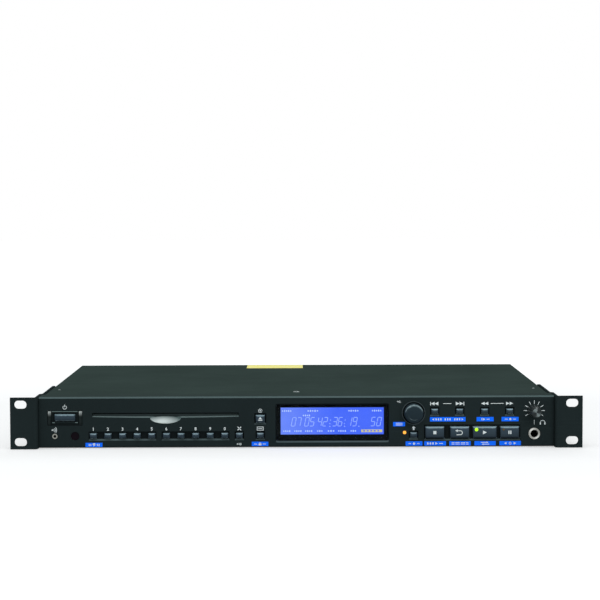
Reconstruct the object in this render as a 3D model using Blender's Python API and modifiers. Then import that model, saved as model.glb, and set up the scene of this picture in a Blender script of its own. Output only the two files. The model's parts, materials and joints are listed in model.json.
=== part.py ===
"""CD player for a 19-inch rack, one rack unit high, that draws its disc in through a slot.

The front faces -Y, +X is the viewer's right and +Z is up. The origin lies on the plane
that the player rests on, under the middle of its bounding box. Lengths are in metres.
"""

import math
from dataclasses import dataclass

import bmesh
import bpy
from mathutils import Matrix, Vector

# Clearances and shared stock
GAP = 0.0003              # between faces that meet
OVERRUN = 0.002           # how far a cutter passes the face that it opens
SINK = 0.0005             # how far a joined boss reaches into what carries it
MERGE = 0.00001           # vertices closer than this become one
SHEET = 0.0012            # steel sheet of the case
BOARD = 0.0016            # circuit board

# Front panel: a moulding with flanges that run back from its face
PANEL_FACE = 0.003
PANEL_FLANGE = 0.002
PANEL_DEPTH = 0.020
PANEL_HEIGHT = 0.0431
PANEL_FOOT = 0.0003       # its lower edge above the resting plane
PANEL_CHAMFER = 0.0013
PANEL_FOOT_CHAMFER = 0.0008

# Disc, and the room that it has at each side in the slot and in the loader
DISC_DIAMETER = 0.120
DISC_SIDE_GAP = 0.002
SLOT_WIDTH = DISC_DIAMETER + DISC_SIDE_GAP * 2

# Front panel from left to right: what follows what across the face
POWER_MARGIN = 0.0071
POWER_RECESS_WIDTH = 0.0298
POWER_TO_SLOT = 0.0083
SLOT_TO_EJECT = 0.0131
EJECT_RECESS_WIDTH = 0.0101
EJECT_TO_WINDOW = 0.0078
WINDOW_RECESS_WIDTH = 0.0962
WINDOW_TO_DIAL = 0.0108
DIAL_COLLAR = 0.0199
DIAL_TO_COLUMN = 0.01785
COLUMN_PITCH = 0.02115
COLUMN_COUNT = 4
COLUMN_TO_PHONES = 0.02085
PHONES_MARGIN = 0.0167

# Front panel rows, as heights of their middles over the resting plane
KEY_ROW = 0.01035
SENSOR_ROW = 0.0101
JACK_ROW = 0.0112
TRANSPORT_ROW = 0.0124
WINDOW_ROW = 0.02065
EJECT_ROW = 0.0244
POWER_ROW = 0.02545
SLOT_ROW = 0.02768
DIAL_ROW = 0.02895
SKIP_ROW = 0.0303
KNOB_ROW = 0.0306

# Disc slot with its bowed lower lip and the finger scoop
SLOT_HEIGHT = 0.00416
LIP_DROP = 0.0005
LIP_DEPTH = 0.0016
SCOOP_WIDTH = 0.0264
SCOOP_DROP = 0.0050
SCOOP_DEPTH = 0.0023

# Keys: the small caps of the number, clear, display, shift, skip and search keys
KEY_WIDTH = 0.0059
KEY_HEIGHT = 0.0042
KEY_PROUD = 0.0013
KEY_ROUND = 0.0005
KEY_TRAVEL = 0.0008
KEY_SPAN_SHORTER = 0.0004  # how much less than the slot's width the eleven keys span
KEY_INSET = 0.0008         # first key from the slot's left end
NUMBER_KEY_COUNT = 10
TRAY_KEY_COUNT = 5         # number keys that share one tray

# Transport buttons
TRANSPORT_HEIGHT = 0.0100
TRANSPORT_WIDTH = 0.0160
PLAY_WIDTH = 0.0200
TRANSPORT_PROUD = 0.0018
TRANSPORT_TRAVEL = 0.0008

# Eject button
EJECT_WIDTH = 0.0076
EJECT_HEIGHT = 0.0066
EJECT_RECESS_HEIGHT = 0.0096

# Power button and its recess with scooped ends
POWER_WIDTH = 0.0174
POWER_HEIGHT = 0.0056
POWER_PROUD = 0.0003
POWER_TRAVEL = 0.003
POWER_LIFT = 0.0005        # the button's middle above the recess's middle
POWER_RECESS_HEIGHT = 0.0129
POWER_RECESS_DEPTH = 0.0005
POWER_RECESS_LIP = 0.0004
POWER_SCOOP_RADIUS = 0.0018  # of the upright trough at each end
POWER_SCOOP_HEIGHT = 0.0118
POWER_WELL_MARGIN = 0.0006
POWER_WELL_ABOVE = 0.0021
POWER_WELL_BELOW = 0.0018
POWER_WELL_LIP = 0.0009
POWER_WELL_DEPTH = 0.0021
POWER_STEM_WIDTH = 0.008
POWER_STEM_HEIGHT = 0.004
POWER_STEM_END = 0.030     # behind the face
POWER_SWITCH_WIDTH = 0.016
POWER_SWITCH_HEIGHT = 0.0150
POWER_SWITCH_DEPTH = 0.024
POWER_BRACKET_INSET = 0.002

# Trays: the shallow sunk fields around keys, with a sloped lower lip
TRAY_DEPTH = 0.0012
TRAY_LIP = 0.0013
TRAY_SIDE = 0.0004
TRAY_MARGIN = 0.0010
TRAY_ABOVE = 0.0015
TRAY_BELOW = 0.0020

# Buttons behind the panel
FLANGE = 0.0010            # thickness of the rim that keeps a cap in its hole
FLANGE_RIM = 0.0010        # how far the rim reaches past the cap
PLUNGER_SIDE = 0.0024
PLUNGER_END = 0.0065       # behind the face
SWITCH_SIDE = 0.0060

# Window and display
WINDOW_SETBACK = 0.0010
WINDOW_THICKNESS = 0.0012
WINDOW_LEDGE = 0.0020
WINDOW_LIP_BELOW = 0.0011
WINDOW_LIP_ABOVE = 0.0011
WINDOW_LIP_SIDE = 0.0005
WINDOW_RECESS_HEIGHT = 0.0331
WINDOW_ROUND = 0.0014
LCD_MARGIN = 0.0005

# Front circuit board
BOARD_FRONT = 0.011        # behind the face
BOARD_EDGE = 0.0011        # board edge to the panel's flanges
BOARD_BOSS = 0.0040
BOARD_PAST_SLOT = 0.0030

# Jog dial with its encoder
DIAL_DIAMETER = 0.0163
DIAL_FACE_DIAMETER = 0.0157
DIAL_PROUD = 0.0090
DIAL_EDGE = 0.0014
DIAL_SINK = 0.0015         # its back edge behind the face
DIAL_HOLLOW = 0.0030       # depth of the hollow behind the cap's front
DIAL_WALL = 0.0016
DIAL_PUSH = 0.0005
SHAFT_DIAMETER = 0.0060
SHAFT_END = 0.0094         # behind the face
ENCODER_SIDE = 0.0130
ENCODER_FRONT = 0.0060     # behind the face
ROTOR_WALL = 0.0012
COLLAR_PROUD = 0.0004
COLLAR_WIDTH = 0.0006
DIAL_MOAT = 0.0018         # depth of the ring inside the collar

# Headphone level knob with its pot
KNOB_DIAMETER = 0.0112
KNOB_FACE_DIAMETER = 0.0088
KNOB_LENGTH = 0.0155
KNOB_EDGE = 0.0008
POT_SIDE = 0.0100
POT_FRONT = 0.0050         # behind the face

# Sockets of the front panel
JACK_BORE = 0.0064
JACK_RING = 0.0097
JACK_RING_PROUD = 0.0012
JACK_BARREL = 0.0084
JACK_BODY_WIDTH = 0.0140
JACK_BODY_HEIGHT = 0.0134
JACK_BODY_DEPTH = 0.0230
JACK_BORE_DEPTH = 0.0200
REMOTE_RING = 0.0045
REMOTE_RING_PROUD = 0.0006
REMOTE_BORE = 0.0024
REMOTE_BODY_WIDTH = 0.0080
REMOTE_BODY_DEPTH = 0.0100
REMOTE_BORE_DEPTH = 0.0080
SENSOR_OFFSET = 0.0085     # remote jack and sensor window to either side of the power button
SENSOR_DIAMETER = 0.0068
SENSOR_THICKNESS = 0.0024

# Case
BODY_DEPTH = 0.285         # panel face to the rear panel's outside
COVER_TOP = 0.043
COVER_INSET = 0.0025       # the case is this much narrower than the panel at each side
SKIRT_FOOT = 0.0020        # the cover's lower edges above the resting plane
DIMPLE_RADIUS = 0.0055
DIMPLE_FLOOR_RADIUS = 0.0038
DIMPLE_DEPTH = 0.0006
DIMPLE_BACK = 0.0205       # dimple's middle behind the cover's front edge
REAR_FLANGE = 0.008        # the rear panel's foot, folded forward
PORT_MARGIN = 0.0008       # around what passes the case's front wall
RIBBON_WIDTH = 0.060
RIBBON_HEIGHT = 0.012

# Rack ears
EAR_REACH = 0.0233         # from the panel's end to the tab's outer edge
EAR_HEIGHT = 0.0437
EAR_THICKNESS = 0.0024
EAR_FORWARD = 0.0064       # the tab's front ahead of the panel's face
EAR_BEND = 0.0026          # outer radius of the bend
EAR_LENGTH = 0.093         # how far the flange runs back from the panel's face
EAR_JOGGLE = 0.0030
EAR_TAIL_ROUND = 0.0060
EAR_SLOT_WIDTH = 0.0105
EAR_SLOT_HEIGHT = 0.0070
EAR_SLOT_ROUND = 0.0034
EAR_SLOT_SPACING = 0.03175
EAR_SLOT_REACH = 0.01455   # slots' middles from the panel's end

# Disc loader
LOADER_FRONT = 0.0235      # behind the face
LOADER_TAIL = 0.0032       # the loader's frame past the sled's motor
LOADER_WALL = 0.0045
LOADER_LEDGE = 0.0026      # how far the grooves' lips reach under and over the disc
LOADER_DECK_FOOT = 0.008
LOADER_DECK = 0.002
LOADER_WALL_TOP = 0.0330
LOADER_LEG = 0.0060
LOADER_LEG_INSET = 0.0060
SPINDLE_BACK = 0.0950      # spindle axis behind the face
SPINDLE_MOTOR_RADIUS = 0.0120
SPINDLE_MOTOR_HEIGHT = 0.0060
SPINDLE_SHAFT_RADIUS = 0.0010
TURNTABLE_RADIUS = 0.0145
TURNTABLE_PLATE = 0.0016
TURNTABLE_CONE_RADIUS = 0.0072
TURNTABLE_CONE = 0.0016
TURNTABLE_HUB_RADIUS = 0.0045
TURNTABLE_HUB = 0.0050
ROLLER_BACK = 0.0310       # roller axis behind the face
ROLLER_RADIUS = 0.0038
ROLLER_WAIST = 0.0005      # how much thinner the roller is at its middle
ROLLER_SHAFT_RADIUS = 0.0015
ROLLER_END_GAP = 0.0015
ROLLER_SHAFT_REACH = 0.0040
LOADING_MOTOR_WIDTH = 0.0085
LOADING_MOTOR_DEPTH = 0.030
LOADING_MOTOR_HEIGHT = 0.0130
TOP_HOLE_RADIUS = 0.0180
ARM_WIDTH = 0.0200
ARM_LENGTH = 0.0700        # pivot to spindle axis
ARM_THICKNESS = 0.0012
ARM_LIFT = 0.0012          # the arm's underside above the top plate
ARM_PIN_RADIUS = 0.0015
CLAMP_RADIUS = 0.0140
CLAMP_ABOVE_DISC = 0.0030  # the raised clamp's underside above the disc's middle plane
LUG_WIDTH = 0.0026
LUG_LENGTH = 0.0080
RAIL_OFFSET = 0.0200       # rod and lead screw from the spindle's plane
RAIL_HEIGHT = 0.0070       # above the deck
RAIL_RADIUS = 0.0015
RAIL_FRONT = 0.0070        # front posts behind the spindle axis
POST_SIDE = 0.0060
SLED_CLEAR = 0.0030        # sled to the posts at either end of its travel
SLED_DEPTH = 0.0200
SLED_THICKNESS = 0.0070
SLED_SIDE = 0.0040         # sled past the rod and the lead screw
SLED_TRAVEL = 0.033
LENS_RADIUS = 0.0040
LENS_HEIGHT = 0.0026
SLED_MOTOR_RADIUS = 0.0050
SLED_MOTOR_LENGTH = 0.0070

# Boards inside the case, with what stands on them
MAIN_BOARD_FRONT = 0.040   # behind the face
MAIN_BOARD_LEFT_GAP = 0.0140   # from the loader to the main board
BOARD_REAR_GAP = 0.0270    # from the rear panel's outside to the boards
BOARD_SIDE_GAP = 0.0070
BOARD_HEIGHT = 0.0060      # the boards' undersides above the resting plane
STANDOFF = 0.0050
STANDOFF_INSET = 0.0070
SUPPLY_GAP = 0.0070        # from the loader's back to the power supply board
SUPPLY_WIDTH = 0.140
CHIP = (0.0140, 0.0140, 0.0016)
RELAY = (0.0100, 0.0200, 0.0100)
TRANSFORMER = (0.0320, 0.0280, 0.0240)
HEAT_SINK = (0.0300, 0.0030, 0.0220)
CAPACITOR_RADIUS = 0.0050
CAPACITOR_HEIGHT = 0.0120
BULK_CAPACITOR_RADIUS = 0.0090
BULK_CAPACITOR_HEIGHT = 0.0260

# Sockets of the rear panel, at one height, from the right end of the case to the left
SOCKET_ROW = 0.0213
XLR_MARGIN = 0.0380        # first socket's middle from the case's side
XLR_PITCH = 0.0430
XLR_COUNT = 3
XLR_TO_RCA = 0.0360
RCA_TO_COAXIAL = 0.0300
COAXIAL_TO_SERIAL = 0.0640
SERIAL_TO_PARALLEL = 0.0520
INLET_MARGIN = 0.0360      # inlet's middle from the case's other side
XLR_PLATE = (0.0260, 0.0310, 0.0020)
XLR_PLATE_ROUND = 0.0030
XLR_BODY_RADIUS = 0.0110
XLR_BODY_DEPTH = 0.0180
XLR_CUP_RADIUS = 0.0082
XLR_CUP_DEPTH = 0.0140
XLR_PIN_COUNT = 3
XLR_PIN_RADIUS = 0.0012
XLR_PIN_LENGTH = 0.0110
XLR_PIN_CIRCLE = 0.0040
RCA_BARREL_RADIUS = 0.0042
RCA_BARREL_REACH = 0.0090  # past the rear panel's outside
RCA_BORE_RADIUS = 0.0016
RCA_BORE_DEPTH = 0.0070
RCA_SPACING = 0.0150
RCA_BLOCK = (0.0110, 0.0120, 0.0120)
D_SHELL_HEIGHT = 0.0083
D_SHELL_REACH = 0.0058
D_SHELL_SLANT = 0.0014
D_FLANGE_HEIGHT = 0.0125
D_FLANGE = 0.0010
D_BODY_DEPTH = 0.0090
D_SCREW_RADIUS = 0.0026
D_SCREW_REACH = 0.0050
SERIAL_SHELL = 0.0169
SERIAL_FLANGE = 0.0308
PARALLEL_SHELL = 0.0253
PARALLEL_FLANGE = 0.0391
INLET_PLATE = (0.0500, 0.0270, 0.0030)
INLET_PLATE_ROUND = 0.0060
INLET_BODY = (0.0272, 0.0198, 0.0190)
INLET_CUP = (0.0242, 0.0164, 0.0160)
INLET_CUP_CUT = 0.0050
INLET_BLADE = (0.0020, 0.0040, 0.0130)
INLET_BLADE_SPREAD = 0.0070
INLET_EARTH_LIFT = 0.0030
INLET_LINE_DROP = 0.0010

# Roundness
LARGE_SIDES = 32
MEDIUM_SIDES = 24
SMALL_SIDES = 16
THIN_SIDES = 12
HEX_SIDES = 6
CORNER_SEGMENTS = 3
SLOT_CORNER_SEGMENTS = 5
BALL_RINGS = 12
SHARP_ANGLE = math.radians(40)

# Places across the front panel, worked out from left to right
PANEL_WIDTH = (
    POWER_MARGIN + POWER_RECESS_WIDTH + POWER_TO_SLOT + SLOT_WIDTH + SLOT_TO_EJECT
    + EJECT_RECESS_WIDTH + EJECT_TO_WINDOW + WINDOW_RECESS_WIDTH + WINDOW_TO_DIAL
    + DIAL_COLLAR / 2 + DIAL_TO_COLUMN + COLUMN_PITCH * (COLUMN_COUNT - 1)
    + COLUMN_TO_PHONES + PHONES_MARGIN
)
PANEL_LEFT = -PANEL_WIDTH / 2
PANEL_TOP = PANEL_FOOT + PANEL_HEIGHT
POWER_X = PANEL_LEFT + POWER_MARGIN + POWER_RECESS_WIDTH / 2
SLOT_LEFT = POWER_X + POWER_RECESS_WIDTH / 2 + POWER_TO_SLOT
SLOT_X = SLOT_LEFT + SLOT_WIDTH / 2
EJECT_X = SLOT_LEFT + SLOT_WIDTH + SLOT_TO_EJECT + EJECT_RECESS_WIDTH / 2
WINDOW_X = EJECT_X + EJECT_RECESS_WIDTH / 2 + EJECT_TO_WINDOW + WINDOW_RECESS_WIDTH / 2
DIAL_X = WINDOW_X + WINDOW_RECESS_WIDTH / 2 + WINDOW_TO_DIAL + DIAL_COLLAR / 2
COLUMN_XS = [DIAL_X + DIAL_TO_COLUMN + COLUMN_PITCH * column for column in range(COLUMN_COUNT)]
PHONES_X = COLUMN_XS[-1] + COLUMN_TO_PHONES
REMOTE_X = POWER_X - SENSOR_OFFSET
SENSOR_X = POWER_X + SENSOR_OFFSET
FIRST_KEY_X = SLOT_LEFT + KEY_INSET
KEY_PITCH = (SLOT_WIDTH - KEY_SPAN_SHORTER) / NUMBER_KEY_COUNT
KEY_XS = [FIRST_KEY_X + KEY_PITCH * place for place in range(NUMBER_KEY_COUNT)]
CLEAR_X = FIRST_KEY_X + KEY_PITCH * NUMBER_KEY_COUNT

# Depths: the face stands where the bounding box is centred on the origin
FRONT_REACH = KNOB_LENGTH + GAP
REAR_REACH = RCA_BARREL_REACH
FACE_Y = (FRONT_REACH - BODY_DEPTH - REAR_REACH) / 2
REAR_Y = FACE_Y + BODY_DEPTH

# Case places
COVER_HALF = PANEL_WIDTH / 2 - COVER_INSET
CASE_HALF = COVER_HALF - SHEET - GAP
INSIDE_HALF = CASE_HALF - SHEET
CASE_FRONT = PANEL_DEPTH + GAP
CASE_WALL_TOP = COVER_TOP - SHEET - GAP

# Loader places
WALL_X = DISC_DIAMETER / 2 + LOADER_WALL
DECK_TOP = LOADER_DECK_FOOT + LOADER_DECK
RAIL_START = SPINDLE_BACK + RAIL_FRONT
SLED_FRONT = RAIL_START + POST_SIDE + SLED_CLEAR
RAIL_END = SLED_FRONT + SLED_DEPTH + SLED_TRAVEL + SLED_CLEAR + POST_SIDE
LOADER_END = RAIL_END + GAP + SLED_MOTOR_LENGTH + LOADER_TAIL
ROLLER_Z = SLOT_ROW - ROLLER_RADIUS - SHEET / 2
TOP_PLATE_FOOT = LOADER_WALL_TOP + GAP
TOP_PLATE_TOP = TOP_PLATE_FOOT + SHEET
ARM_FOOT = TOP_PLATE_TOP + ARM_LIFT
ARM_PIVOT_BACK = SPINDLE_BACK + ARM_LENGTH
ARM_PIVOT_Z = ARM_FOOT + ARM_THICKNESS / 2
RAIL_Z = DECK_TOP + RAIL_HEIGHT


def behind(distance):
    """Gives the Y of a plane that lies this far behind the panel's face."""
    return FACE_Y + distance


@dataclass(frozen=True)
class Field:
    """A rectangle on the front panel, seen from the front."""

    left: float
    right: float
    bottom: float
    top: float

    def grown(self, side, below, above):
        """Gives a field that reaches further at its sides, below and above."""
        return Field(self.left - side, self.right + side, self.bottom - below, self.top + above)


def field(x, z, width, height):
    """Gives the field around a middle point."""
    return Field(x - width / 2, x + width / 2, z - height / 2, z + height / 2)


# Shapes, all added to a mesh in the player's own coordinates
def add_block(mesh, low, high):
    """Adds a box between two corners and gives its vertices."""
    low = Vector(low)
    high = Vector(high)
    matrix = Matrix.Translation((low + high) / 2) @ Matrix.Diagonal((*(high - low), 1.0))
    return bmesh.ops.create_cube(mesh, size=1.0, matrix=matrix)["verts"]


def add_field_block(mesh, area, front, back):
    """Adds a box behind a field of the panel, between two depths."""
    low = (area.left, behind(front), area.bottom)
    high = (area.right, behind(back), area.top)
    return add_block(mesh, low, high)


def add_tapered_block(mesh, mouth, floor, depth, radius=0.0):
    """Adds a cutter that narrows from a mouth on the panel's face to a floor behind it."""
    growth = (depth + OVERRUN) / depth
    ahead = Field(
        floor.left + (mouth.left - floor.left) * growth,
        floor.right + (mouth.right - floor.right) * growth,
        floor.bottom + (mouth.bottom - floor.bottom) * growth,
        floor.top + (mouth.top - floor.top) * growth,
    )
    vertices = bmesh.ops.create_cube(mesh, size=1.0)["verts"]
    for vertex in vertices:
        at_front = vertex.co.y < 0
        area = ahead if at_front else floor
        x = area.left if vertex.co.x < 0 else area.right
        z = area.bottom if vertex.co.z < 0 else area.top
        vertex.co = Vector((x, behind(-OVERRUN if at_front else depth), z))
    if radius > 0:
        mesh.edges.index_update()
        round_edges(mesh, edges_between_depths(vertices), radius, CORNER_SEGMENTS)


def edges_along(vertices, axis):
    """Lists a box's edges that run along one axis: 0, 1 or 2."""
    edges = {edge for vertex in vertices for edge in vertex.link_edges}
    chosen = []
    for edge in edges:
        run = edge.verts[1].co - edge.verts[0].co
        if abs(run[axis]) > run.length / 2:
            chosen.append(edge)
    return sorted(chosen, key=lambda edge: edge.index)


def edges_between_depths(vertices):
    """Lists a tapered block's edges that run from its mouth to its floor."""
    edges = {edge for vertex in vertices for edge in vertex.link_edges}
    middle = (min(vertex.co.y for vertex in vertices) + max(vertex.co.y for vertex in vertices)) / 2
    chosen = [edge for edge in edges if (edge.verts[0].co.y < middle) != (edge.verts[1].co.y < middle)]
    return sorted(chosen, key=lambda edge: edge.index)


def round_edges(mesh, edges, radius, segments):
    """Rounds edges of a mesh."""
    bmesh.ops.bevel(mesh, geom=edges, offset=radius, segments=segments, profile=0.5, affect="EDGES")


def add_rounded_block(mesh, low, high, radius, axis, segments=CORNER_SEGMENTS):
    """Adds a box whose edges along one axis are rounded."""
    vertices = add_block(mesh, low, high)
    mesh.edges.index_update()
    round_edges(mesh, edges_along(vertices, axis), radius, segments)


def add_drum(mesh, radius, start, end, sides, end_radius=None):
    """Adds a cylinder, or a cone where the end's radius differs, between two points."""
    start = Vector(start)
    end = Vector(end)
    run = end - start
    turn = run.to_track_quat("Z", "Y").to_matrix().to_4x4()
    bmesh.ops.create_cone(
        mesh,
        cap_ends=True,
        cap_tris=False,
        segments=sides,
        radius1=radius,
        radius2=radius if end_radius is None else end_radius,
        depth=run.length,
        matrix=Matrix.Translation((start + end) / 2) @ turn,
    )


def add_post(mesh, radius, x, depth, bottom, top, sides=SMALL_SIDES):
    """Adds an upright cylinder at a depth behind the face."""
    add_drum(mesh, radius, (x, behind(depth), bottom), (x, behind(depth), top), sides)


def add_pin(mesh, radius, x, z, front, back, sides=MEDIUM_SIDES):
    """Adds a cylinder that runs back, between two depths behind the face."""
    add_drum(mesh, radius, (x, behind(front), z), (x, behind(back), z), sides)


# Objects, collections and finishes
def clear_scene():
    """Removes the objects that the scene starts with."""
    for thing in list(bpy.data.objects):
        bpy.data.objects.remove(thing, do_unlink=True)


def new_collection(name):
    """Makes a collection in the scene."""
    collection = bpy.data.collections.new(name)
    bpy.context.scene.collection.children.link(collection)
    return collection


def new_finish(name, colour, roughness, metallic=0.0):
    """Makes a plain material."""
    finish = bpy.data.materials.new(name)
    finish.use_nodes = True
    shader = finish.node_tree.nodes["Principled BSDF"]
    shader.inputs["Base Color"].default_value = (*colour, 1.0)
    shader.inputs["Roughness"].default_value = roughness
    shader.inputs["Metallic"].default_value = metallic
    return finish


clear_scene()
PARTS = new_collection("cd_player")
CUTTERS = new_collection("cutters")


def new_group(name, place):
    """Makes an empty that carries the pieces of one sub-assembly."""
    group = bpy.data.objects.new(name, None)
    group.location = place
    group.empty_display_size = PANEL_HEIGHT
    PARTS.objects.link(group)
    return group


def new_part(name, mesh, finish, group, origin):
    """Makes a sub-part whose origin is a given point and that hangs on a group."""
    bmesh.ops.translate(mesh, verts=mesh.verts, vec=-Vector(origin))
    data = bpy.data.meshes.new(name)
    mesh.to_mesh(data)
    mesh.free()
    data.materials.append(finish)
    part = bpy.data.objects.new(name, data)
    PARTS.objects.link(part)
    part.parent = group
    part.location = Vector(origin) - group.location
    return part


def new_tool(name, mesh):
    """Makes a shape that only cuts or joins."""
    data = bpy.data.meshes.new(name)
    mesh.to_mesh(data)
    mesh.free()
    tool = bpy.data.objects.new(name, data)
    tool.hide_render = True
    tool.display_type = "WIRE"
    CUTTERS.objects.link(tool)
    return tool


def combine(part, mesh, label, operation):
    """Adds a Boolean modifier that works with a new tool."""
    modifier = part.modifiers.new(label, "BOOLEAN")
    modifier.operation = operation
    modifier.solver = "EXACT"
    modifier.object = new_tool(f"{part.name}_{label}", mesh)


def cut(part, mesh, label):
    """Takes a shape out of a part."""
    combine(part, mesh, label, "DIFFERENCE")


def join(part, mesh, label):
    """Adds a shape to a part."""
    combine(part, mesh, label, "UNION")


def copy_part(part, name, origin):
    """Makes another object with the finished shape of a part, at its own place."""
    depsgraph = bpy.context.evaluated_depsgraph_get()
    data = bpy.data.meshes.new_from_object(part.evaluated_get(depsgraph))
    copy = bpy.data.objects.new(name, data)
    PARTS.objects.link(copy)
    copy.parent = part.parent
    copy.rotation_euler = part.rotation_euler
    copy.location = Vector(origin) - part.parent.location
    return copy


def shade_round(part):
    """Shades a round part smooth, with its true edges sharp."""
    part.data.shade_smooth()
    part.data.set_sharp_from_angle(angle=SHARP_ANGLE)


def turn_profile(name, profile, finish, group, origin, rotation, steps):
    """Turns a profile of (radius, height) points, from the top down, about its own Z."""
    data = bpy.data.meshes.new(name)
    points = [(radius, 0.0, height) for radius, height in profile]
    data.from_pydata(points, [(place, place + 1) for place in range(len(points) - 1)], [])
    data.materials.append(finish)
    part = bpy.data.objects.new(name, data)
    PARTS.objects.link(part)
    part.parent = group
    part.location = Vector(origin) - group.location
    part.rotation_euler = rotation
    screw = part.modifiers.new("turn", "SCREW")
    screw.axis = "Z"
    screw.steps = steps
    screw.render_steps = steps
    screw.use_merge_vertices = True
    screw.merge_threshold = MERGE
    screw.use_smooth_shade = True
    return part


def extrude_outline(name, points, thickness, finish, group, origin, rotation):
    """Makes a plate from a flat outline, its thickness spread to both sides of the outline."""
    curve = bpy.data.curves.new(name, "CURVE")
    curve.dimensions = "2D"
    curve.fill_mode = "BOTH"
    curve.extrude = thickness / 2
    spline = curve.splines.new("POLY")
    spline.points.add(len(points) - 1)
    for point, (x, y) in zip(spline.points, points):
        point.co = (x, y, 0.0, 1.0)
    spline.use_cyclic_u = True
    outline = bpy.data.objects.new(name, curve)
    PARTS.objects.link(outline)
    outline.parent = group
    outline.location = Vector(origin) - group.location
    outline.rotation_euler = rotation
    bpy.context.view_layer.update()
    depsgraph = bpy.context.evaluated_depsgraph_get()
    data = bpy.data.meshes.new_from_object(outline.evaluated_get(depsgraph))
    place = outline.matrix_world.copy()
    bpy.data.objects.remove(outline, do_unlink=True)
    mesh = bmesh.new()
    mesh.from_mesh(data)
    bmesh.ops.remove_doubles(mesh, verts=mesh.verts, dist=MERGE)
    mesh.to_mesh(data)
    mesh.free()
    data.materials.clear()
    data.materials.append(finish)
    plate = bpy.data.objects.new(name, data)
    PARTS.objects.link(plate)
    plate.parent = group
    plate.matrix_world = place
    return plate


FACING_FRONT = (math.pi / 2, 0.0, 0.0)
ALONG_X = (0.0, math.pi / 2, 0.0)

PANEL_BLACK = new_finish("panel black", (0.0150, 0.0220, 0.0230), 0.45)
EAR_BLACK = new_finish("ear black", (0.0150, 0.0215, 0.0225), 0.50, 0.3)
COVER_GREY = new_finish("cover grey", (0.0380, 0.0560, 0.0510), 0.55, 0.3)
STEEL = new_finish("zinc plated steel", (0.50, 0.50, 0.50), 0.35, 1.0)
KEY_GREY = new_finish("key grey", (0.0370, 0.0600, 0.0800), 0.40)
DIAL_GREY = new_finish("dial grey", (0.0180, 0.0280, 0.0360), 0.45)
KNOB_GREY = new_finish("knob grey", (0.0500, 0.0600, 0.0620), 0.50)
WINDOW_SMOKE = new_finish("window smoke", (0.0060, 0.0080, 0.0090), 0.10)
LCD_BLUE = new_finish("display blue", (0.0600, 0.1600, 1.0000), 0.30)
SENSOR_RED = new_finish("sensor dark red", (0.0080, 0.0040, 0.0060), 0.15)
BOARD_GREEN = new_finish("board green", (0.0150, 0.0900, 0.0400), 0.50)
NICKEL = new_finish("nickel", (0.72, 0.69, 0.60), 0.25, 1.0)
SOCKET_BLACK = new_finish("socket black", (0.0120, 0.0120, 0.0120), 0.50)
FRAME_BLACK = new_finish("loader black", (0.0250, 0.0250, 0.0260), 0.60)
RUBBER = new_finish("roller rubber", (0.0200, 0.0200, 0.0200), 0.80)

CASE = new_group("case", (0.0, 0.0, 0.0))
CONTROLS = new_group("controls", (0.0, FACE_Y, 0.0))
SOCKETS = new_group("rear_sockets", (0.0, REAR_Y, SOCKET_ROW))
LOADER = new_group("loader", (SLOT_X, behind(SPINDLE_BACK), DECK_TOP))


# Fields of the caps on the front panel
@dataclass(frozen=True)
class Cap:
    """One button cap: its node's name, its field and how far it stands proud and travels."""

    name: str
    area: Field
    proud: float
    travel: float


def small_key(name, x, z):
    """Describes one of the small keys."""
    return Cap(name, field(x, z, KEY_WIDTH, KEY_HEIGHT), KEY_PROUD, KEY_TRAVEL)


def transport_button(name, column, width):
    """Describes one of the four wide buttons."""
    area = field(COLUMN_XS[column], TRANSPORT_ROW, width, TRANSPORT_HEIGHT)
    return Cap(name, area, TRANSPORT_PROUD, TRANSPORT_TRAVEL)


NUMBER_KEYS = [
    small_key(f"number_key_{(place + 1) % NUMBER_KEY_COUNT}", x, KEY_ROW)
    for place, x in enumerate(KEY_XS)
]
SINGLE_KEYS = [
    small_key("clear_key", CLEAR_X, KEY_ROW),
    small_key("display_key", EJECT_X, KEY_ROW),
    small_key("shift_key", DIAL_X, KEY_ROW),
    small_key("skip_back_key", COLUMN_XS[0], SKIP_ROW),
    small_key("skip_forward_key", COLUMN_XS[1], SKIP_ROW),
    small_key("search_back_key", COLUMN_XS[2], SKIP_ROW),
    small_key("search_forward_key", COLUMN_XS[3], SKIP_ROW),
]
TRANSPORT_BUTTONS = [
    transport_button("stop_button", 0, TRANSPORT_WIDTH),
    transport_button("call_button", 1, TRANSPORT_WIDTH),
    transport_button("play_button", 2, PLAY_WIDTH),
    transport_button("pause_button", 3, TRANSPORT_WIDTH),
]
EJECT_BUTTON = Cap(
    "eject_button", field(EJECT_X, EJECT_ROW, EJECT_WIDTH, EJECT_HEIGHT), KEY_PROUD, KEY_TRAVEL
)
POWER_BUTTON = Cap(
    "power_button",
    field(POWER_X, POWER_ROW + POWER_LIFT, POWER_WIDTH, POWER_HEIGHT),
    POWER_PROUD,
    POWER_TRAVEL,
)
BOARD_CAPS = NUMBER_KEYS + SINGLE_KEYS + TRANSPORT_BUTTONS + [EJECT_BUTTON]
ALL_CAPS = BOARD_CAPS + [POWER_BUTTON]

WINDOW_RECESS = field(WINDOW_X, WINDOW_ROW, WINDOW_RECESS_WIDTH, WINDOW_RECESS_HEIGHT)
WINDOW = WINDOW_RECESS.grown(-WINDOW_LIP_SIDE - GAP, -WINDOW_LIP_BELOW - GAP, -WINDOW_LIP_ABOVE - GAP)
SLOT = field(SLOT_X, SLOT_ROW, SLOT_WIDTH, SLOT_HEIGHT)
JACK_BODY = field(PHONES_X, JACK_ROW, JACK_BODY_WIDTH, JACK_BODY_HEIGHT)


def tray_of(first, last):
    """Gives the mouth of the tray that holds the caps from one to another."""
    return Field(
        first.area.left - TRAY_MARGIN,
        last.area.right + TRAY_MARGIN,
        first.area.bottom - TRAY_BELOW,
        first.area.top + TRAY_ABOVE,
    )


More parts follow.
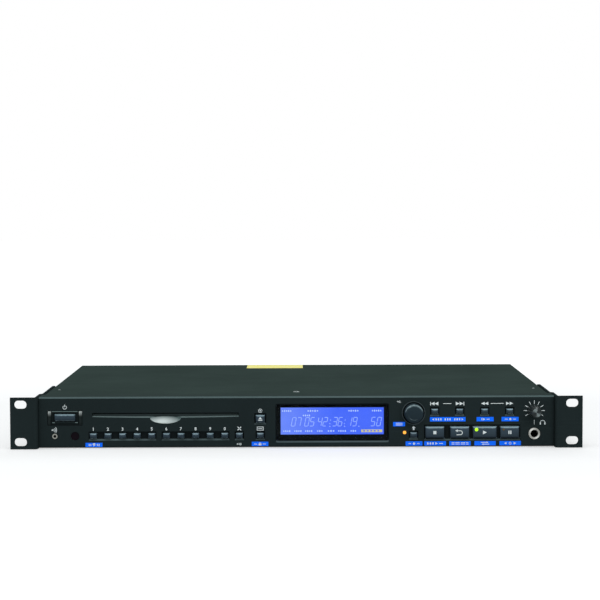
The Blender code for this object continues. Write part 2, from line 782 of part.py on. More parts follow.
def tray_mouths():
    """Lists the mouths of all sunk trays."""
    mouths = [
        tray_of(NUMBER_KEYS[0], NUMBER_KEYS[TRAY_KEY_COUNT - 1]),
        tray_of(NUMBER_KEYS[TRAY_KEY_COUNT], NUMBER_KEYS[-1]),
        tray_of(TRANSPORT_BUTTONS[0], TRANSPORT_BUTTONS[-1]),
        field(EJECT_X, EJECT_ROW, EJECT_RECESS_WIDTH, EJECT_RECESS_HEIGHT),
    ]
    mouths += [tray_of(key, key) for key in SINGLE_KEYS]
    return mouths


def board_boss_places():
    """Lists where bosses carry the front board, between the rows of keys."""
    under_slot = (KEY_ROW + SLOT_ROW) / 2
    under_skip = (TRANSPORT_ROW + SKIP_ROW) / 2
    return [
        ((KEY_XS[1] + KEY_XS[2]) / 2, under_slot),
        ((KEY_XS[-3] + KEY_XS[-2]) / 2, under_slot),
        (EJECT_X, (KEY_ROW + EJECT_ROW) / 2 - FLANGE_RIM),
        ((COLUMN_XS[0] + COLUMN_XS[1]) / 2, under_skip),
        ((COLUMN_XS[2] + COLUMN_XS[3]) / 2, under_skip),
    ]


# Front panel
def panel_shell():
    """Makes the moulding: a box with chamfered front edges that is open at the back."""
    mesh = bmesh.new()
    low = (PANEL_LEFT, behind(0.0), PANEL_FOOT)
    high = (-PANEL_LEFT, behind(PANEL_DEPTH), PANEL_TOP)
    vertices = add_block(mesh, low, high)
    mesh.edges.index_update()
    front = [
        edge for edge in edges_along(vertices, 0)
        if max(vertex.co.y for vertex in edge.verts) < behind(PANEL_FACE)
    ]
    upper = [edge for edge in front if edge.verts[0].co.z > PANEL_HEIGHT / 2]
    lower = [edge for edge in front if edge.verts[0].co.z < PANEL_HEIGHT / 2]
    round_edges(mesh, upper, PANEL_CHAMFER, 1)
    round_edges(mesh, lower, PANEL_FOOT_CHAMFER, 1)
    panel = new_part("front_panel", mesh, PANEL_BLACK, CASE, (0.0, behind(0.0), PANEL_FOOT))
    hollow = bmesh.new()
    room = Field(PANEL_LEFT, -PANEL_LEFT, PANEL_FOOT, PANEL_TOP)
    room = room.grown(-PANEL_FLANGE, -PANEL_FLANGE, -PANEL_FLANGE)
    add_field_block(hollow, room, PANEL_FACE, PANEL_DEPTH + OVERRUN)
    cut(panel, hollow, "hollow")
    return panel


def panel_trays(panel):
    """Sinks the trays, the power recess, the window recess and the slot's scoops."""
    trays = bmesh.new()
    for mouth in tray_mouths():
        floor = mouth.grown(-TRAY_SIDE, -TRAY_LIP, -TRAY_SIDE)
        add_tapered_block(trays, mouth, floor, TRAY_DEPTH)
    mouth = field(POWER_X, POWER_ROW, POWER_RECESS_WIDTH, POWER_RECESS_HEIGHT)
    floor = mouth.grown(-POWER_RECESS_LIP, -POWER_RECESS_LIP, -POWER_RECESS_LIP)
    add_tapered_block(trays, mouth, floor, POWER_RECESS_DEPTH)
    floor = WINDOW.grown(GAP, GAP, GAP)
    add_tapered_block(trays, WINDOW_RECESS, floor, WINDOW_SETBACK, WINDOW_ROUND)
    cut(panel, trays, "trays")
    wells = bmesh.new()
    area = POWER_BUTTON.area
    mouth = area.grown(POWER_WELL_MARGIN, POWER_WELL_BELOW, POWER_WELL_ABOVE)
    floor = mouth.grown(0.0, -POWER_WELL_LIP, 0.0)
    add_tapered_block(wells, mouth, floor, POWER_WELL_DEPTH)
    reach = POWER_RECESS_WIDTH / 2 - POWER_SCOOP_RADIUS
    for x in (POWER_X - reach, POWER_X + reach):
        bottom = POWER_ROW - POWER_SCOOP_HEIGHT / 2
        add_post(wells, POWER_SCOOP_RADIUS, x, 0.0, bottom, bottom + POWER_SCOOP_HEIGHT, MEDIUM_SIDES)
    cut(panel, wells, "power_wells")
    add_slot_scoops(panel)


def add_slot_scoops(panel):
    """Hollows the slot's bowed lower lip and the finger scoop under its middle."""
    scoops = [
        (SLOT_WIDTH / 2, LIP_DEPTH, LIP_DROP, LARGE_SIDES),
        (SCOOP_WIDTH / 2, SCOOP_DEPTH, SCOOP_DROP, LARGE_SIDES),
    ]
    for place, (half_width, depth, drop, sides) in enumerate(scoops):
        scoop = bmesh.new()
        vertices = bmesh.ops.create_uvsphere(
            scoop, u_segments=sides, v_segments=BALL_RINGS, radius=1.0
        )["verts"]
        for vertex in vertices:
            rise = SLOT_HEIGHT / 2 if vertex.co.z > 0 else drop
            x, y, z = vertex.co
            vertex.co = Vector((SLOT_X + x * half_width, behind(y * depth), SLOT.bottom + z * rise))
        cut(panel, scoop, f"scoop_{place}")


def panel_holes(panel):
    """Opens the square holes: caps, slot and window."""
    holes = bmesh.new()
    for cap in ALL_CAPS:
        area = cap.area.grown(GAP, GAP, GAP)
        add_field_block(holes, area, -OVERRUN, PANEL_FACE + OVERRUN)
    add_field_block(holes, SLOT, -OVERRUN, PANEL_FACE + OVERRUN)
    view = WINDOW.grown(-WINDOW_LEDGE, -WINDOW_LEDGE, -WINDOW_LEDGE)
    add_field_block(holes, view, -OVERRUN, PANEL_FACE + OVERRUN)
    cut(panel, holes, "holes")
    pocket = bmesh.new()
    seat = WINDOW.grown(GAP, GAP, GAP)
    low = (seat.left, behind(-OVERRUN), seat.bottom)
    high = (seat.right, behind(WINDOW_SETBACK + WINDOW_THICKNESS + GAP), seat.top)
    add_rounded_block(pocket, low, high, WINDOW_ROUND, 1)
    cut(panel, pocket, "window_pocket")


def panel_bores(panel):
    """Opens the round holes: dial, knob, jacks and sensor."""
    bores = bmesh.new()
    sizes = [
        (DIAL_DIAMETER / 2, DIAL_X, DIAL_ROW, LARGE_SIDES),
        (SHAFT_DIAMETER / 2, PHONES_X, KNOB_ROW, MEDIUM_SIDES),
        (JACK_BARREL / 2, PHONES_X, JACK_ROW, MEDIUM_SIDES),
        (REMOTE_RING / 2, REMOTE_X, SENSOR_ROW, SMALL_SIDES),
        (SENSOR_DIAMETER / 2, SENSOR_X, SENSOR_ROW, MEDIUM_SIDES),
    ]
    for radius, x, z, sides in sizes:
        add_pin(bores, radius + GAP, x, z, -OVERRUN, PANEL_FACE + OVERRUN, sides)
    cut(panel, bores, "bores")


def panel_collar(panel):
    """Raises the thin collar around the jog dial's hole."""
    collar = bmesh.new()
    add_pin(collar, DIAL_COLLAR / 2, DIAL_X, DIAL_ROW, -COLLAR_PROUD, SINK, LARGE_SIDES)
    join(panel, collar, "collar")
    step = bmesh.new()
    inside = DIAL_COLLAR / 2 - COLLAR_WIDTH
    add_pin(step, inside, DIAL_X, DIAL_ROW, -COLLAR_PROUD - OVERRUN, DIAL_MOAT, LARGE_SIDES)
    cut(panel, step, "collar_moat")


def panel_bosses(panel):
    """Adds the bosses that carry the front board."""
    bosses = bmesh.new()
    for x, z in board_boss_places():
        add_pin(bosses, BOARD_BOSS / 2, x, z, PANEL_FACE - SINK, BOARD_FRONT - GAP, THIN_SIDES)
    join(panel, bosses, "bosses")


def make_front_panel():
    """Makes the front panel with all its openings."""
    panel = panel_shell()
    panel_trays(panel)
    panel_holes(panel)
    panel_collar(panel)
    panel_bores(panel)
    panel_bosses(panel)


# Caps of the keys and buttons
def cap_middle(cap):
    """Gives the middle of a cap's field, on the panel's face."""
    area = cap.area
    return ((area.left + area.right) / 2, behind(0.0), (area.bottom + area.top) / 2)


def make_cap(cap, stem_width, stem_height, stem_end):
    """Makes a cap with a rounded front, its rim behind the panel and its stem."""
    mesh = bmesh.new()
    vertices = add_field_block(mesh, cap.area, -cap.proud, PANEL_FACE + GAP + FLANGE / 2)
    mesh.edges.index_update()
    front = [
        edge for axis in (0, 2) for edge in edges_along(vertices, axis)
        if max(vertex.co.y for vertex in edge.verts) < behind(0.0)
    ]
    round_edges(mesh, front + edges_along(vertices, 1), KEY_ROUND, 1)
    part = new_part(cap.name, mesh, KEY_GREY, CONTROLS, cap_middle(cap))
    rim = bmesh.new()
    area = cap.area.grown(FLANGE_RIM, FLANGE_RIM, FLANGE_RIM)
    add_field_block(rim, area, PANEL_FACE + GAP, PANEL_FACE + GAP + FLANGE)
    join(part, rim, "rim")
    stem = bmesh.new()
    x, _, z = cap_middle(cap)
    reach = field(x, z, stem_width, stem_height)
    add_field_block(stem, reach, PANEL_FACE + GAP + FLANGE - SINK, stem_end)
    join(part, stem, "stem")


def make_caps():
    """Makes every key and button."""
    for cap in BOARD_CAPS:
        make_cap(cap, PLUNGER_SIDE, PLUNGER_SIDE, PLUNGER_END)
    make_cap(POWER_BUTTON, POWER_STEM_WIDTH, POWER_STEM_HEIGHT, POWER_STEM_END)


# Window, display, sensor window and front sockets
def make_window():
    """Makes the clear window over the display."""
    mesh = bmesh.new()
    low = (WINDOW.left, behind(WINDOW_SETBACK), WINDOW.bottom)
    high = (WINDOW.right, behind(WINDOW_SETBACK + WINDOW_THICKNESS), WINDOW.top)
    add_rounded_block(mesh, low, high, WINDOW_ROUND, 1)
    x = (WINDOW.left + WINDOW.right) / 2
    new_part("display_window", mesh, WINDOW_SMOKE, CASE, (x, behind(WINDOW_SETBACK), WINDOW_ROW))


def make_display():
    """Makes the display module between the panel and the front board."""
    mesh = bmesh.new()
    area = WINDOW.grown(-LCD_MARGIN, -LCD_MARGIN, -LCD_MARGIN)
    add_field_block(mesh, area, PANEL_FACE + GAP, BOARD_FRONT - GAP)
    x = (WINDOW.left + WINDOW.right) / 2
    new_part("lcd_module", mesh, LCD_BLUE, CASE, (x, behind(PANEL_FACE), WINDOW_ROW))


def make_sensor_window():
    """Makes the dark window of the infrared sensor."""
    mesh = bmesh.new()
    radius = SENSOR_DIAMETER / 2
    add_pin(mesh, radius, SENSOR_X, SENSOR_ROW, 0.0, SENSOR_THICKNESS)
    part = new_part("ir_window", mesh, SENSOR_RED, CASE, (SENSOR_X, behind(0.0), SENSOR_ROW))
    shade_round(part)


def make_phones_jack():
    """Makes the headphone socket: ring, barrel and body."""
    mesh = bmesh.new()
    add_pin(mesh, JACK_BARREL / 2, PHONES_X, JACK_ROW, -JACK_RING_PROUD, PANEL_FACE + GAP + SINK)
    origin = (PHONES_X, behind(0.0), JACK_ROW)
    jack = new_part("phones_jack", mesh, NICKEL, CASE, origin)
    ring = bmesh.new()
    add_pin(ring, JACK_RING / 2, PHONES_X, JACK_ROW, -JACK_RING_PROUD, -GAP)
    join(jack, ring, "ring")
    body = bmesh.new()
    add_field_block(body, JACK_BODY, PANEL_FACE + GAP, PANEL_FACE + GAP + JACK_BODY_DEPTH)
    join(jack, body, "body")
    bore = bmesh.new()
    add_pin(bore, JACK_BORE / 2, PHONES_X, JACK_ROW, -JACK_RING_PROUD - OVERRUN, JACK_BORE_DEPTH)
    cut(jack, bore, "bore")


def make_remote_jack():
    """Makes the small socket for a wired remote."""
    mesh = bmesh.new()
    add_pin(mesh, REMOTE_RING / 2, REMOTE_X, SENSOR_ROW, -REMOTE_RING_PROUD, PANEL_FACE + GAP + SINK)
    origin = (REMOTE_X, behind(0.0), SENSOR_ROW)
    jack = new_part("remote_jack", mesh, NICKEL, CASE, origin)
    body = bmesh.new()
    area = field(REMOTE_X, SENSOR_ROW, REMOTE_BODY_WIDTH, REMOTE_BODY_WIDTH)
    add_field_block(body, area, PANEL_FACE + GAP, PANEL_FACE + GAP + REMOTE_BODY_DEPTH)
    join(jack, body, "body")
    bore = bmesh.new()
    start = -REMOTE_RING_PROUD - OVERRUN
    add_pin(bore, REMOTE_BORE / 2, REMOTE_X, SENSOR_ROW, start, REMOTE_BORE_DEPTH, SMALL_SIDES)
    cut(jack, bore, "bore")


# Front board with its switches, encoder and pot
def front_board_outline():
    """Gives the board's outline as (x, z) points: it steps around the slot and the jack."""
    left = SENSOR_X - SENSOR_DIAMETER
    right = -PANEL_LEFT - PANEL_FLANGE - BOARD_EDGE
    bottom = PANEL_FOOT + PANEL_FLANGE + BOARD_EDGE
    top = PANEL_TOP - PANEL_FLANGE - BOARD_EDGE
    beside_jack = JACK_BODY.left - BOARD_EDGE
    over_jack = JACK_BODY.top + BOARD_EDGE
    beside_slot = SLOT.right + BOARD_PAST_SLOT
    under_slot = SLOT.bottom - BOARD_PAST_SLOT
    return [
        (left, bottom), (beside_jack, bottom), (beside_jack, over_jack), (right, over_jack),
        (right, top), (beside_slot, top), (beside_slot, under_slot), (left, under_slot),
    ]


def make_front_board():
    """Makes the board behind the panel with a switch behind each cap."""
    origin = (0.0, behind(BOARD_FRONT + BOARD / 2), 0.0)
    outline = front_board_outline()
    board = extrude_outline("front_board", outline, BOARD, BOARD_GREEN, CASE, origin, FACING_FRONT)
    blocks = bmesh.new()
    for cap in BOARD_CAPS:
        x, _, z = cap_middle(cap)
        front = PLUNGER_END + cap.travel + GAP
        add_field_block(blocks, field(x, z, SWITCH_SIDE, SWITCH_SIDE), front, BOARD_FRONT + SINK)
    encoder = field(DIAL_X, DIAL_ROW, ENCODER_SIDE, ENCODER_SIDE)
    add_field_block(blocks, encoder, ENCODER_FRONT, BOARD_FRONT + SINK)
    pot = field(PHONES_X, KNOB_ROW, POT_SIDE, POT_SIDE)
    add_field_block(blocks, pot, POT_FRONT, BOARD_FRONT + SINK)
    receiver = field(SENSOR_X, SENSOR_ROW, SENSOR_DIAMETER, SENSOR_DIAMETER)
    add_field_block(blocks, receiver, PLUNGER_END, BOARD_FRONT + SINK)
    join(board, blocks, "blocks")
    bores = bmesh.new()
    rotor_room = SHAFT_DIAMETER / 2 + GAP + ROTOR_WALL + GAP
    add_pin(bores, rotor_room, DIAL_X, DIAL_ROW, ENCODER_FRONT - OVERRUN, BOARD_FRONT)
    shaft_room = SHAFT_DIAMETER / 2 + GAP
    add_pin(bores, shaft_room, PHONES_X, KNOB_ROW, POT_FRONT - OVERRUN, BOARD_FRONT)
    cut(board, bores, "bores")


# Dial and knob
def rounded_rim(radius, height, size):
    """Lists the points of a quarter round from a flat top down to a side."""
    points = []
    for segment in range(CORNER_SEGMENTS + 1):
        angle = math.pi / 2 * segment / CORNER_SEGMENTS
        across = radius - size * (1 - math.sin(angle))
        points.append((across, height - size * (1 - math.cos(angle))))
    return points


def make_dial():
    """Makes the jog dial: a cup-shaped cap on a shaft."""
    radius = DIAL_DIAMETER / 2
    face = DIAL_FACE_DIAMETER / 2
    hollow = radius - DIAL_WALL
    shaft = SHAFT_DIAMETER / 2
    profile = [
        (0.0, DIAL_PROUD),
        *rounded_rim(face, DIAL_PROUD, DIAL_EDGE),
        (radius, -DIAL_SINK),
        (hollow, -DIAL_SINK),
        (hollow, DIAL_PROUD - DIAL_HOLLOW),
        (shaft, DIAL_PROUD - DIAL_HOLLOW),
        (shaft, -SHAFT_END),
        (0.0, -SHAFT_END),
    ]
    origin = (DIAL_X, behind(0.0), DIAL_ROW)
    turn_profile("jog_dial", profile, DIAL_GREY, CONTROLS, origin, FACING_FRONT, LARGE_SIDES)


def make_rotor():
    """Makes the encoder's rotor: a sleeve that turns with the dial but doesn't slide."""
    inner = SHAFT_DIAMETER / 2 + GAP
    mesh = bmesh.new()
    back = BOARD_FRONT - GAP
    add_pin(mesh, inner + ROTOR_WALL, DIAL_X, DIAL_ROW, ENCODER_FRONT + GAP, back)
    origin = (DIAL_X, behind(ENCODER_FRONT), DIAL_ROW)
    rotor = new_part("encoder_rotor", mesh, SOCKET_BLACK, CONTROLS, origin)
    shade_round(rotor)
    bore = bmesh.new()
    add_pin(bore, inner, DIAL_X, DIAL_ROW, ENCODER_FRONT - OVERRUN, BOARD_FRONT + OVERRUN)
    cut(rotor, bore, "bore")


def make_knob():
    """Makes the tapered headphone level knob on its shaft."""
    shaft = SHAFT_DIAMETER / 2
    face = KNOB_FACE_DIAMETER / 2
    profile = [
        (0.0, KNOB_LENGTH + GAP),
        *rounded_rim(face, KNOB_LENGTH + GAP, KNOB_EDGE),
        (KNOB_DIAMETER / 2, GAP),
        (shaft, GAP),
        (shaft, -SHAFT_END),
        (0.0, -SHAFT_END),
    ]
    origin = (PHONES_X, behind(0.0), KNOB_ROW)
    turn_profile("phones_knob", profile, KNOB_GREY, CONTROLS, origin, FACING_FRONT, MEDIUM_SIDES)


# Power switch
def make_power_switch():
    """Makes the mains switch on its bracket, with room for the button's travel."""
    front = POWER_STEM_END + POWER_TRAVEL + GAP
    z = POWER_ROW + POWER_LIFT
    area = field(POWER_X, z, POWER_SWITCH_WIDTH, POWER_SWITCH_HEIGHT)
    mesh = bmesh.new()
    add_field_block(mesh, area, front, front + POWER_SWITCH_DEPTH)
    switch = new_part("power_switch", mesh, SOCKET_BLACK, CASE, (POWER_X, behind(front), z))
    bracket = bmesh.new()
    foot = Field(area.left, area.right, SHEET + GAP, area.bottom + SINK)
    foot = foot.grown(-POWER_BRACKET_INSET, 0.0, 0.0)
    back = front + POWER_SWITCH_DEPTH - POWER_BRACKET_INSET
    add_field_block(bracket, foot, front + POWER_BRACKET_INSET, back)
    join(switch, bracket, "bracket")


# Case
def make_chassis():
    """Makes the steel pan: floor, sides and front wall, open at the top and the back."""
    mesh = bmesh.new()
    end = BODY_DEPTH - SHEET - GAP
    low = (-CASE_HALF, behind(CASE_FRONT), 0.0)
    high = (CASE_HALF, behind(end), CASE_WALL_TOP)
    add_block(mesh, low, high)
    chassis = new_part("bottom_chassis", mesh, STEEL, CASE, (0.0, behind(CASE_FRONT), 0.0))
    room = bmesh.new()
    low = (-INSIDE_HALF, behind(CASE_FRONT + SHEET), SHEET)
    high = (INSIDE_HALF, behind(end + OVERRUN), CASE_WALL_TOP + OVERRUN)
    add_block(room, low, high)
    cut(chassis, room, "room")
    ports = bmesh.new()
    stem = field(POWER_X, POWER_ROW + POWER_LIFT, POWER_STEM_WIDTH, POWER_STEM_HEIGHT)
    ribbon = field(WINDOW_X, WINDOW_ROW, RIBBON_WIDTH, RIBBON_HEIGHT)
    for area in (SLOT, stem, JACK_BODY, ribbon):
        opening = area.grown(PORT_MARGIN, PORT_MARGIN, PORT_MARGIN)
        add_field_block(ports, opening, CASE_FRONT - OVERRUN, CASE_FRONT + SHEET + OVERRUN)
    cut(chassis, ports, "ports")
    posts = bmesh.new()
    for x, depth in standoff_places():
        add_post(posts, STANDOFF / 2, x, depth, SHEET - SINK, BOARD_HEIGHT - GAP, THIN_SIDES)
    join(chassis, posts, "standoffs")


def make_cover():
    """Makes the folded cover: a top with a skirt at each side and a dimple for its screw."""
    foot = SKIRT_FOOT
    inner = COVER_HALF - SHEET
    outline = [
        (-COVER_HALF, foot), (-inner, foot), (-inner, COVER_TOP - SHEET), (inner, COVER_TOP - SHEET),
        (inner, foot), (COVER_HALF, foot), (COVER_HALF, COVER_TOP), (-COVER_HALF, COVER_TOP),
    ]
    length = BODY_DEPTH - CASE_FRONT
    origin = (0.0, behind(CASE_FRONT + length / 2), 0.0)
    cover = extrude_outline("top_cover", outline, length, COVER_GREY, CASE, origin, FACING_FRONT)
    dimple = bmesh.new()
    depth = CASE_FRONT + DIMPLE_BACK
    low = (0.0, behind(depth), COVER_TOP - DIMPLE_DEPTH)
    high = (0.0, behind(depth), COVER_TOP + DIMPLE_DEPTH)
    mouth_radius = DIMPLE_RADIUS * 2 - DIMPLE_FLOOR_RADIUS
    add_drum(dimple, DIMPLE_FLOOR_RADIUS, low, high, MEDIUM_SIDES, mouth_radius)
    cut(cover, dimple, "dimple")


def make_rear_panel():
    """Makes the rear panel: an upright sheet with a foot folded forward."""
    front = BODY_DEPTH - SHEET
    mesh = bmesh.new()
    low = (-CASE_HALF, behind(front), GAP)
    high = (CASE_HALF, behind(BODY_DEPTH), CASE_WALL_TOP)
    add_block(mesh, low, high)
    panel = new_part("rear_panel", mesh, COVER_GREY, CASE, (0.0, behind(front), GAP))
    foot = bmesh.new()
    half = INSIDE_HALF - GAP
    low = (-half, behind(front - REAR_FLANGE), SHEET + GAP)
    high = (half, behind(front + SINK), SHEET + GAP + SHEET)
    add_block(foot, low, high)
    join(panel, foot, "foot")
    openings = bmesh.new()
    start = front - OVERRUN
    end = BODY_DEPTH + OVERRUN
    for x in xlr_places():
        add_pin(openings, XLR_BODY_RADIUS + GAP, x, SOCKET_ROW, start, end, MEDIUM_SIDES)
    for z in rca_heights():
        add_pin(openings, RCA_BARREL_RADIUS + GAP, rca_x(), z, start, end, SMALL_SIDES)
    add_pin(openings, RCA_BARREL_RADIUS + GAP, coaxial_x(), SOCKET_ROW, start, end, SMALL_SIDES)
    fields = [
        field(inlet_x(), SOCKET_ROW, INLET_BODY[0], INLET_BODY[1]),
        field(serial_x(), SOCKET_ROW, SERIAL_SHELL, D_SHELL_HEIGHT),
        field(parallel_x(), SOCKET_ROW, PARALLEL_SHELL, D_SHELL_HEIGHT),
    ]
    for area in fields:
        add_field_block(openings, area.grown(GAP, GAP, GAP), start, end)
    cut(panel, openings, "openings")


# Rack ears
def ear_outline():
    """Gives one ear seen from above, as (reach past the panel's end, depth) points."""
    outer = EAR_THICKNESS + GAP
    front = -EAR_FORWARD
    back = front + EAR_THICKNESS
    step = PANEL_DEPTH + GAP
    inward = COVER_INSET
    bend = []
    for segment in range(CORNER_SEGMENTS + 1):
        angle = math.pi / 2 * segment / CORNER_SEGMENTS
        reach = GAP + EAR_BEND * (1 - math.sin(angle))
        depth = front + EAR_BEND * (1 - math.cos(angle))
        bend.append((reach, depth))
    return [
        (EAR_REACH, front), *bend, (GAP, step), (GAP - inward, step + EAR_JOGGLE),
        (GAP - inward, EAR_LENGTH), (outer - inward, EAR_LENGTH),
        (outer - inward, step + EAR_JOGGLE + SHEET), (outer, step + SHEET), (outer, back),
        (EAR_REACH, back),
    ]


def make_ear(name, side):
    """Makes a rack ear: a slotted tab with a flange that runs back along the case."""
    edge = PANEL_WIDTH / 2
    points = [(side * (edge + reach), behind(depth)) for reach, depth in ear_outline()]
    if side < 0:
        points.reverse()
    origin = (0.0, 0.0, EAR_HEIGHT / 2)
    ear = extrude_outline(name, points, EAR_HEIGHT, EAR_BLACK, CASE, origin, (0.0, 0.0, 0.0))
    mesh = bmesh.new()
    mesh.from_mesh(ear.data)
    tail = [
        edge for edge in mesh.edges
        if all(vertex.co.y > behind(EAR_LENGTH) - MERGE for vertex in edge.verts)
        and abs(edge.verts[0].co.z - edge.verts[1].co.z) < MERGE
    ]
    round_edges(mesh, tail, EAR_TAIL_ROUND, CORNER_SEGMENTS)
    mesh.to_mesh(ear.data)
    mesh.free()
    slots = bmesh.new()
    x = side * (edge + EAR_SLOT_REACH)
    half = EAR_SLOT_WIDTH / 2
    for offset in (-EAR_SLOT_SPACING / 2, EAR_SLOT_SPACING / 2):
        z = EAR_HEIGHT / 2 + offset
        low = (x - half, behind(-EAR_FORWARD - OVERRUN), z - EAR_SLOT_HEIGHT / 2)
        high = (x + half, behind(-EAR_FORWARD + EAR_THICKNESS + OVERRUN), z + EAR_SLOT_HEIGHT / 2)
        add_rounded_block(slots, low, high, EAR_SLOT_ROUND, 1, SLOT_CORNER_SEGMENTS)
    cut(ear, slots, "slots")


# Disc loader
def loader_block(mesh, half_width, front, back, bottom, top):
    """Adds a box that is centred on the slot, between two depths behind the face."""
    low = (SLOT_X - half_width, behind(front), bottom)
    high = (SLOT_X + half_width, behind(back), top)
    return add_block(mesh, low, high)


def make_loader_frame():
    """Makes the moulded frame: deck, side walls with disc grooves, legs and rail posts."""
    mesh = bmesh.new()
    loader_block(mesh, WALL_X, LOADER_FRONT, LOADER_END, LOADER_DECK_FOOT, LOADER_WALL_TOP)
    origin = (SLOT_X, behind(LOADER_FRONT), LOADER_DECK_FOOT)
    frame = new_part("loader_frame", mesh, FRAME_BLACK, LOADER, origin)
    room = bmesh.new()
    start = LOADER_FRONT - OVERRUN
    end = LOADER_END + OVERRUN
    inner = DISC_DIAMETER / 2 - LOADER_LEDGE
    loader_block(room, inner, start, end, DECK_TOP, LOADER_WALL_TOP + OVERRUN)
    cut(frame, room, "room")
    groove = bmesh.new()
    loader_block(groove, SLOT_WIDTH / 2, start, end, SLOT.bottom, SLOT.top)
    cut(frame, groove, "groove")
    bearings = bmesh.new()
    reach = WALL_X + OVERRUN
    low = (SLOT_X - reach, behind(ROLLER_BACK), ROLLER_Z)
    high = (SLOT_X + reach, behind(ROLLER_BACK), ROLLER_Z)
    add_drum(bearings, ROLLER_SHAFT_RADIUS + GAP, low, high, SMALL_SIDES)
    cut(frame, bearings, "bearings")
    legs = bmesh.new()
    for x in (SLOT_X - WALL_X + LOADER_LEG_INSET, SLOT_X + WALL_X - LOADER_LEG_INSET):
        for depth in (LOADER_FRONT + LOADER_LEG_INSET, LOADER_END - LOADER_LEG_INSET):
            add_post(legs, LOADER_LEG / 2, x, depth, SHEET + GAP, LOADER_DECK_FOOT + SINK, THIN_SIDES)
    join(frame, legs, "legs")
    posts = bmesh.new()
    top = RAIL_Z + POST_SIDE / 2
    for x, depth in rail_posts():
        low = (x - POST_SIDE / 2, behind(depth), DECK_TOP - SINK)
        high = (x + POST_SIDE / 2, behind(depth + POST_SIDE), top)
        add_block(posts, low, high)
    join(frame, posts, "rail_posts")
    sockets = bmesh.new()
    for x in (SLOT_X - RAIL_OFFSET, SLOT_X + RAIL_OFFSET):
        start = RAIL_START + POST_SIDE / 2
        back = RAIL_END - POST_SIDE / 2
        add_pin(sockets, RAIL_RADIUS + GAP, x, RAIL_Z, start, back, THIN_SIDES)
    cut(frame, sockets, "rail_sockets")


def rail_posts():
    """Lists the posts that hold the rod and the lead screw, as (x, depth of front face)."""
    ends = (RAIL_START, RAIL_END - POST_SIDE)
    return [(SLOT_X + side * RAIL_OFFSET, depth) for side in (-1, 1) for depth in ends]


def make_loader_top():
    """Makes the loader's lid: a sheet with a keyhole for the clamp and lugs for its arm."""
    mesh = bmesh.new()
    loader_block(mesh, WALL_X, LOADER_FRONT, LOADER_END, TOP_PLATE_FOOT, TOP_PLATE_TOP)
    origin = (SLOT_X, behind(LOADER_FRONT), TOP_PLATE_FOOT)
    lid = new_part("loader_top", mesh, STEEL, LOADER, origin)
    hole = bmesh.new()
    bottom = TOP_PLATE_FOOT - OVERRUN
    top = TOP_PLATE_TOP + OVERRUN
    add_post(hole, TOP_HOLE_RADIUS, SLOT_X, SPINDLE_BACK, bottom, top, MEDIUM_SIDES)
    cut(lid, hole, "clamp_hole")
    way = bmesh.new()
    half = ARM_WIDTH / 2 + GAP
    loader_block(way, half, SPINDLE_BACK, ARM_PIVOT_BACK + ARM_PIN_RADIUS, bottom, top)
    cut(lid, way, "arm_way")
    lugs = bmesh.new()
    pin = bmesh.new()
    outer = half + LUG_WIDTH
    for side in (-1, 1):
        near = SLOT_X + side * half
        far = SLOT_X + side * outer
        low = (min(near, far), behind(ARM_PIVOT_BACK - LUG_LENGTH / 2), TOP_PLATE_TOP - SINK)
        high = (max(near, far), behind(ARM_PIVOT_BACK + LUG_LENGTH / 2), ARM_PIVOT_Z + LUG_WIDTH)
        add_block(lugs, low, high)
    join(lid, lugs, "lugs")
    low = (SLOT_X - outer - OVERRUN, behind(ARM_PIVOT_BACK), ARM_PIVOT_Z)
    high = (SLOT_X + outer + OVERRUN, behind(ARM_PIVOT_BACK), ARM_PIVOT_Z)
    add_drum(pin, ARM_PIN_RADIUS + GAP, low, high, SMALL_SIDES)
    cut(lid, pin, "pivot_holes")


def make_clamp_arm():
    """Makes the sprung arm that lowers its clamp onto the disc."""
    mesh = bmesh.new()
    back = ARM_PIVOT_BACK
    half = ARM_WIDTH / 2
    loader_block(mesh, half, SPINDLE_BACK, back, ARM_FOOT, ARM_FOOT + ARM_THICKNESS)
    origin = (SLOT_X, behind(ARM_PIVOT_BACK), ARM_PIVOT_Z)
    arm = new_part("clamp_arm", mesh, STEEL, LOADER, origin)
    clamp = bmesh.new()
    bottom = SLOT_ROW + CLAMP_ABOVE_DISC
    add_post(clamp, CLAMP_RADIUS, SLOT_X, SPINDLE_BACK, bottom, ARM_FOOT + ARM_THICKNESS, MEDIUM_SIDES)
    join(arm, clamp, "clamp")
    pin = bmesh.new()
    reach = half + LUG_WIDTH + GAP
    low = (SLOT_X - reach, behind(ARM_PIVOT_BACK), ARM_PIVOT_Z)
    high = (SLOT_X + reach, behind(ARM_PIVOT_BACK), ARM_PIVOT_Z)
    add_drum(pin, ARM_PIN_RADIUS, low, high, SMALL_SIDES)
    join(arm, pin, "pin")


def turntable_base():
    """Gives the height of the underside of the turntable's plate."""
    return SLOT.bottom - GAP - TURNTABLE_CONE - TURNTABLE_PLATE


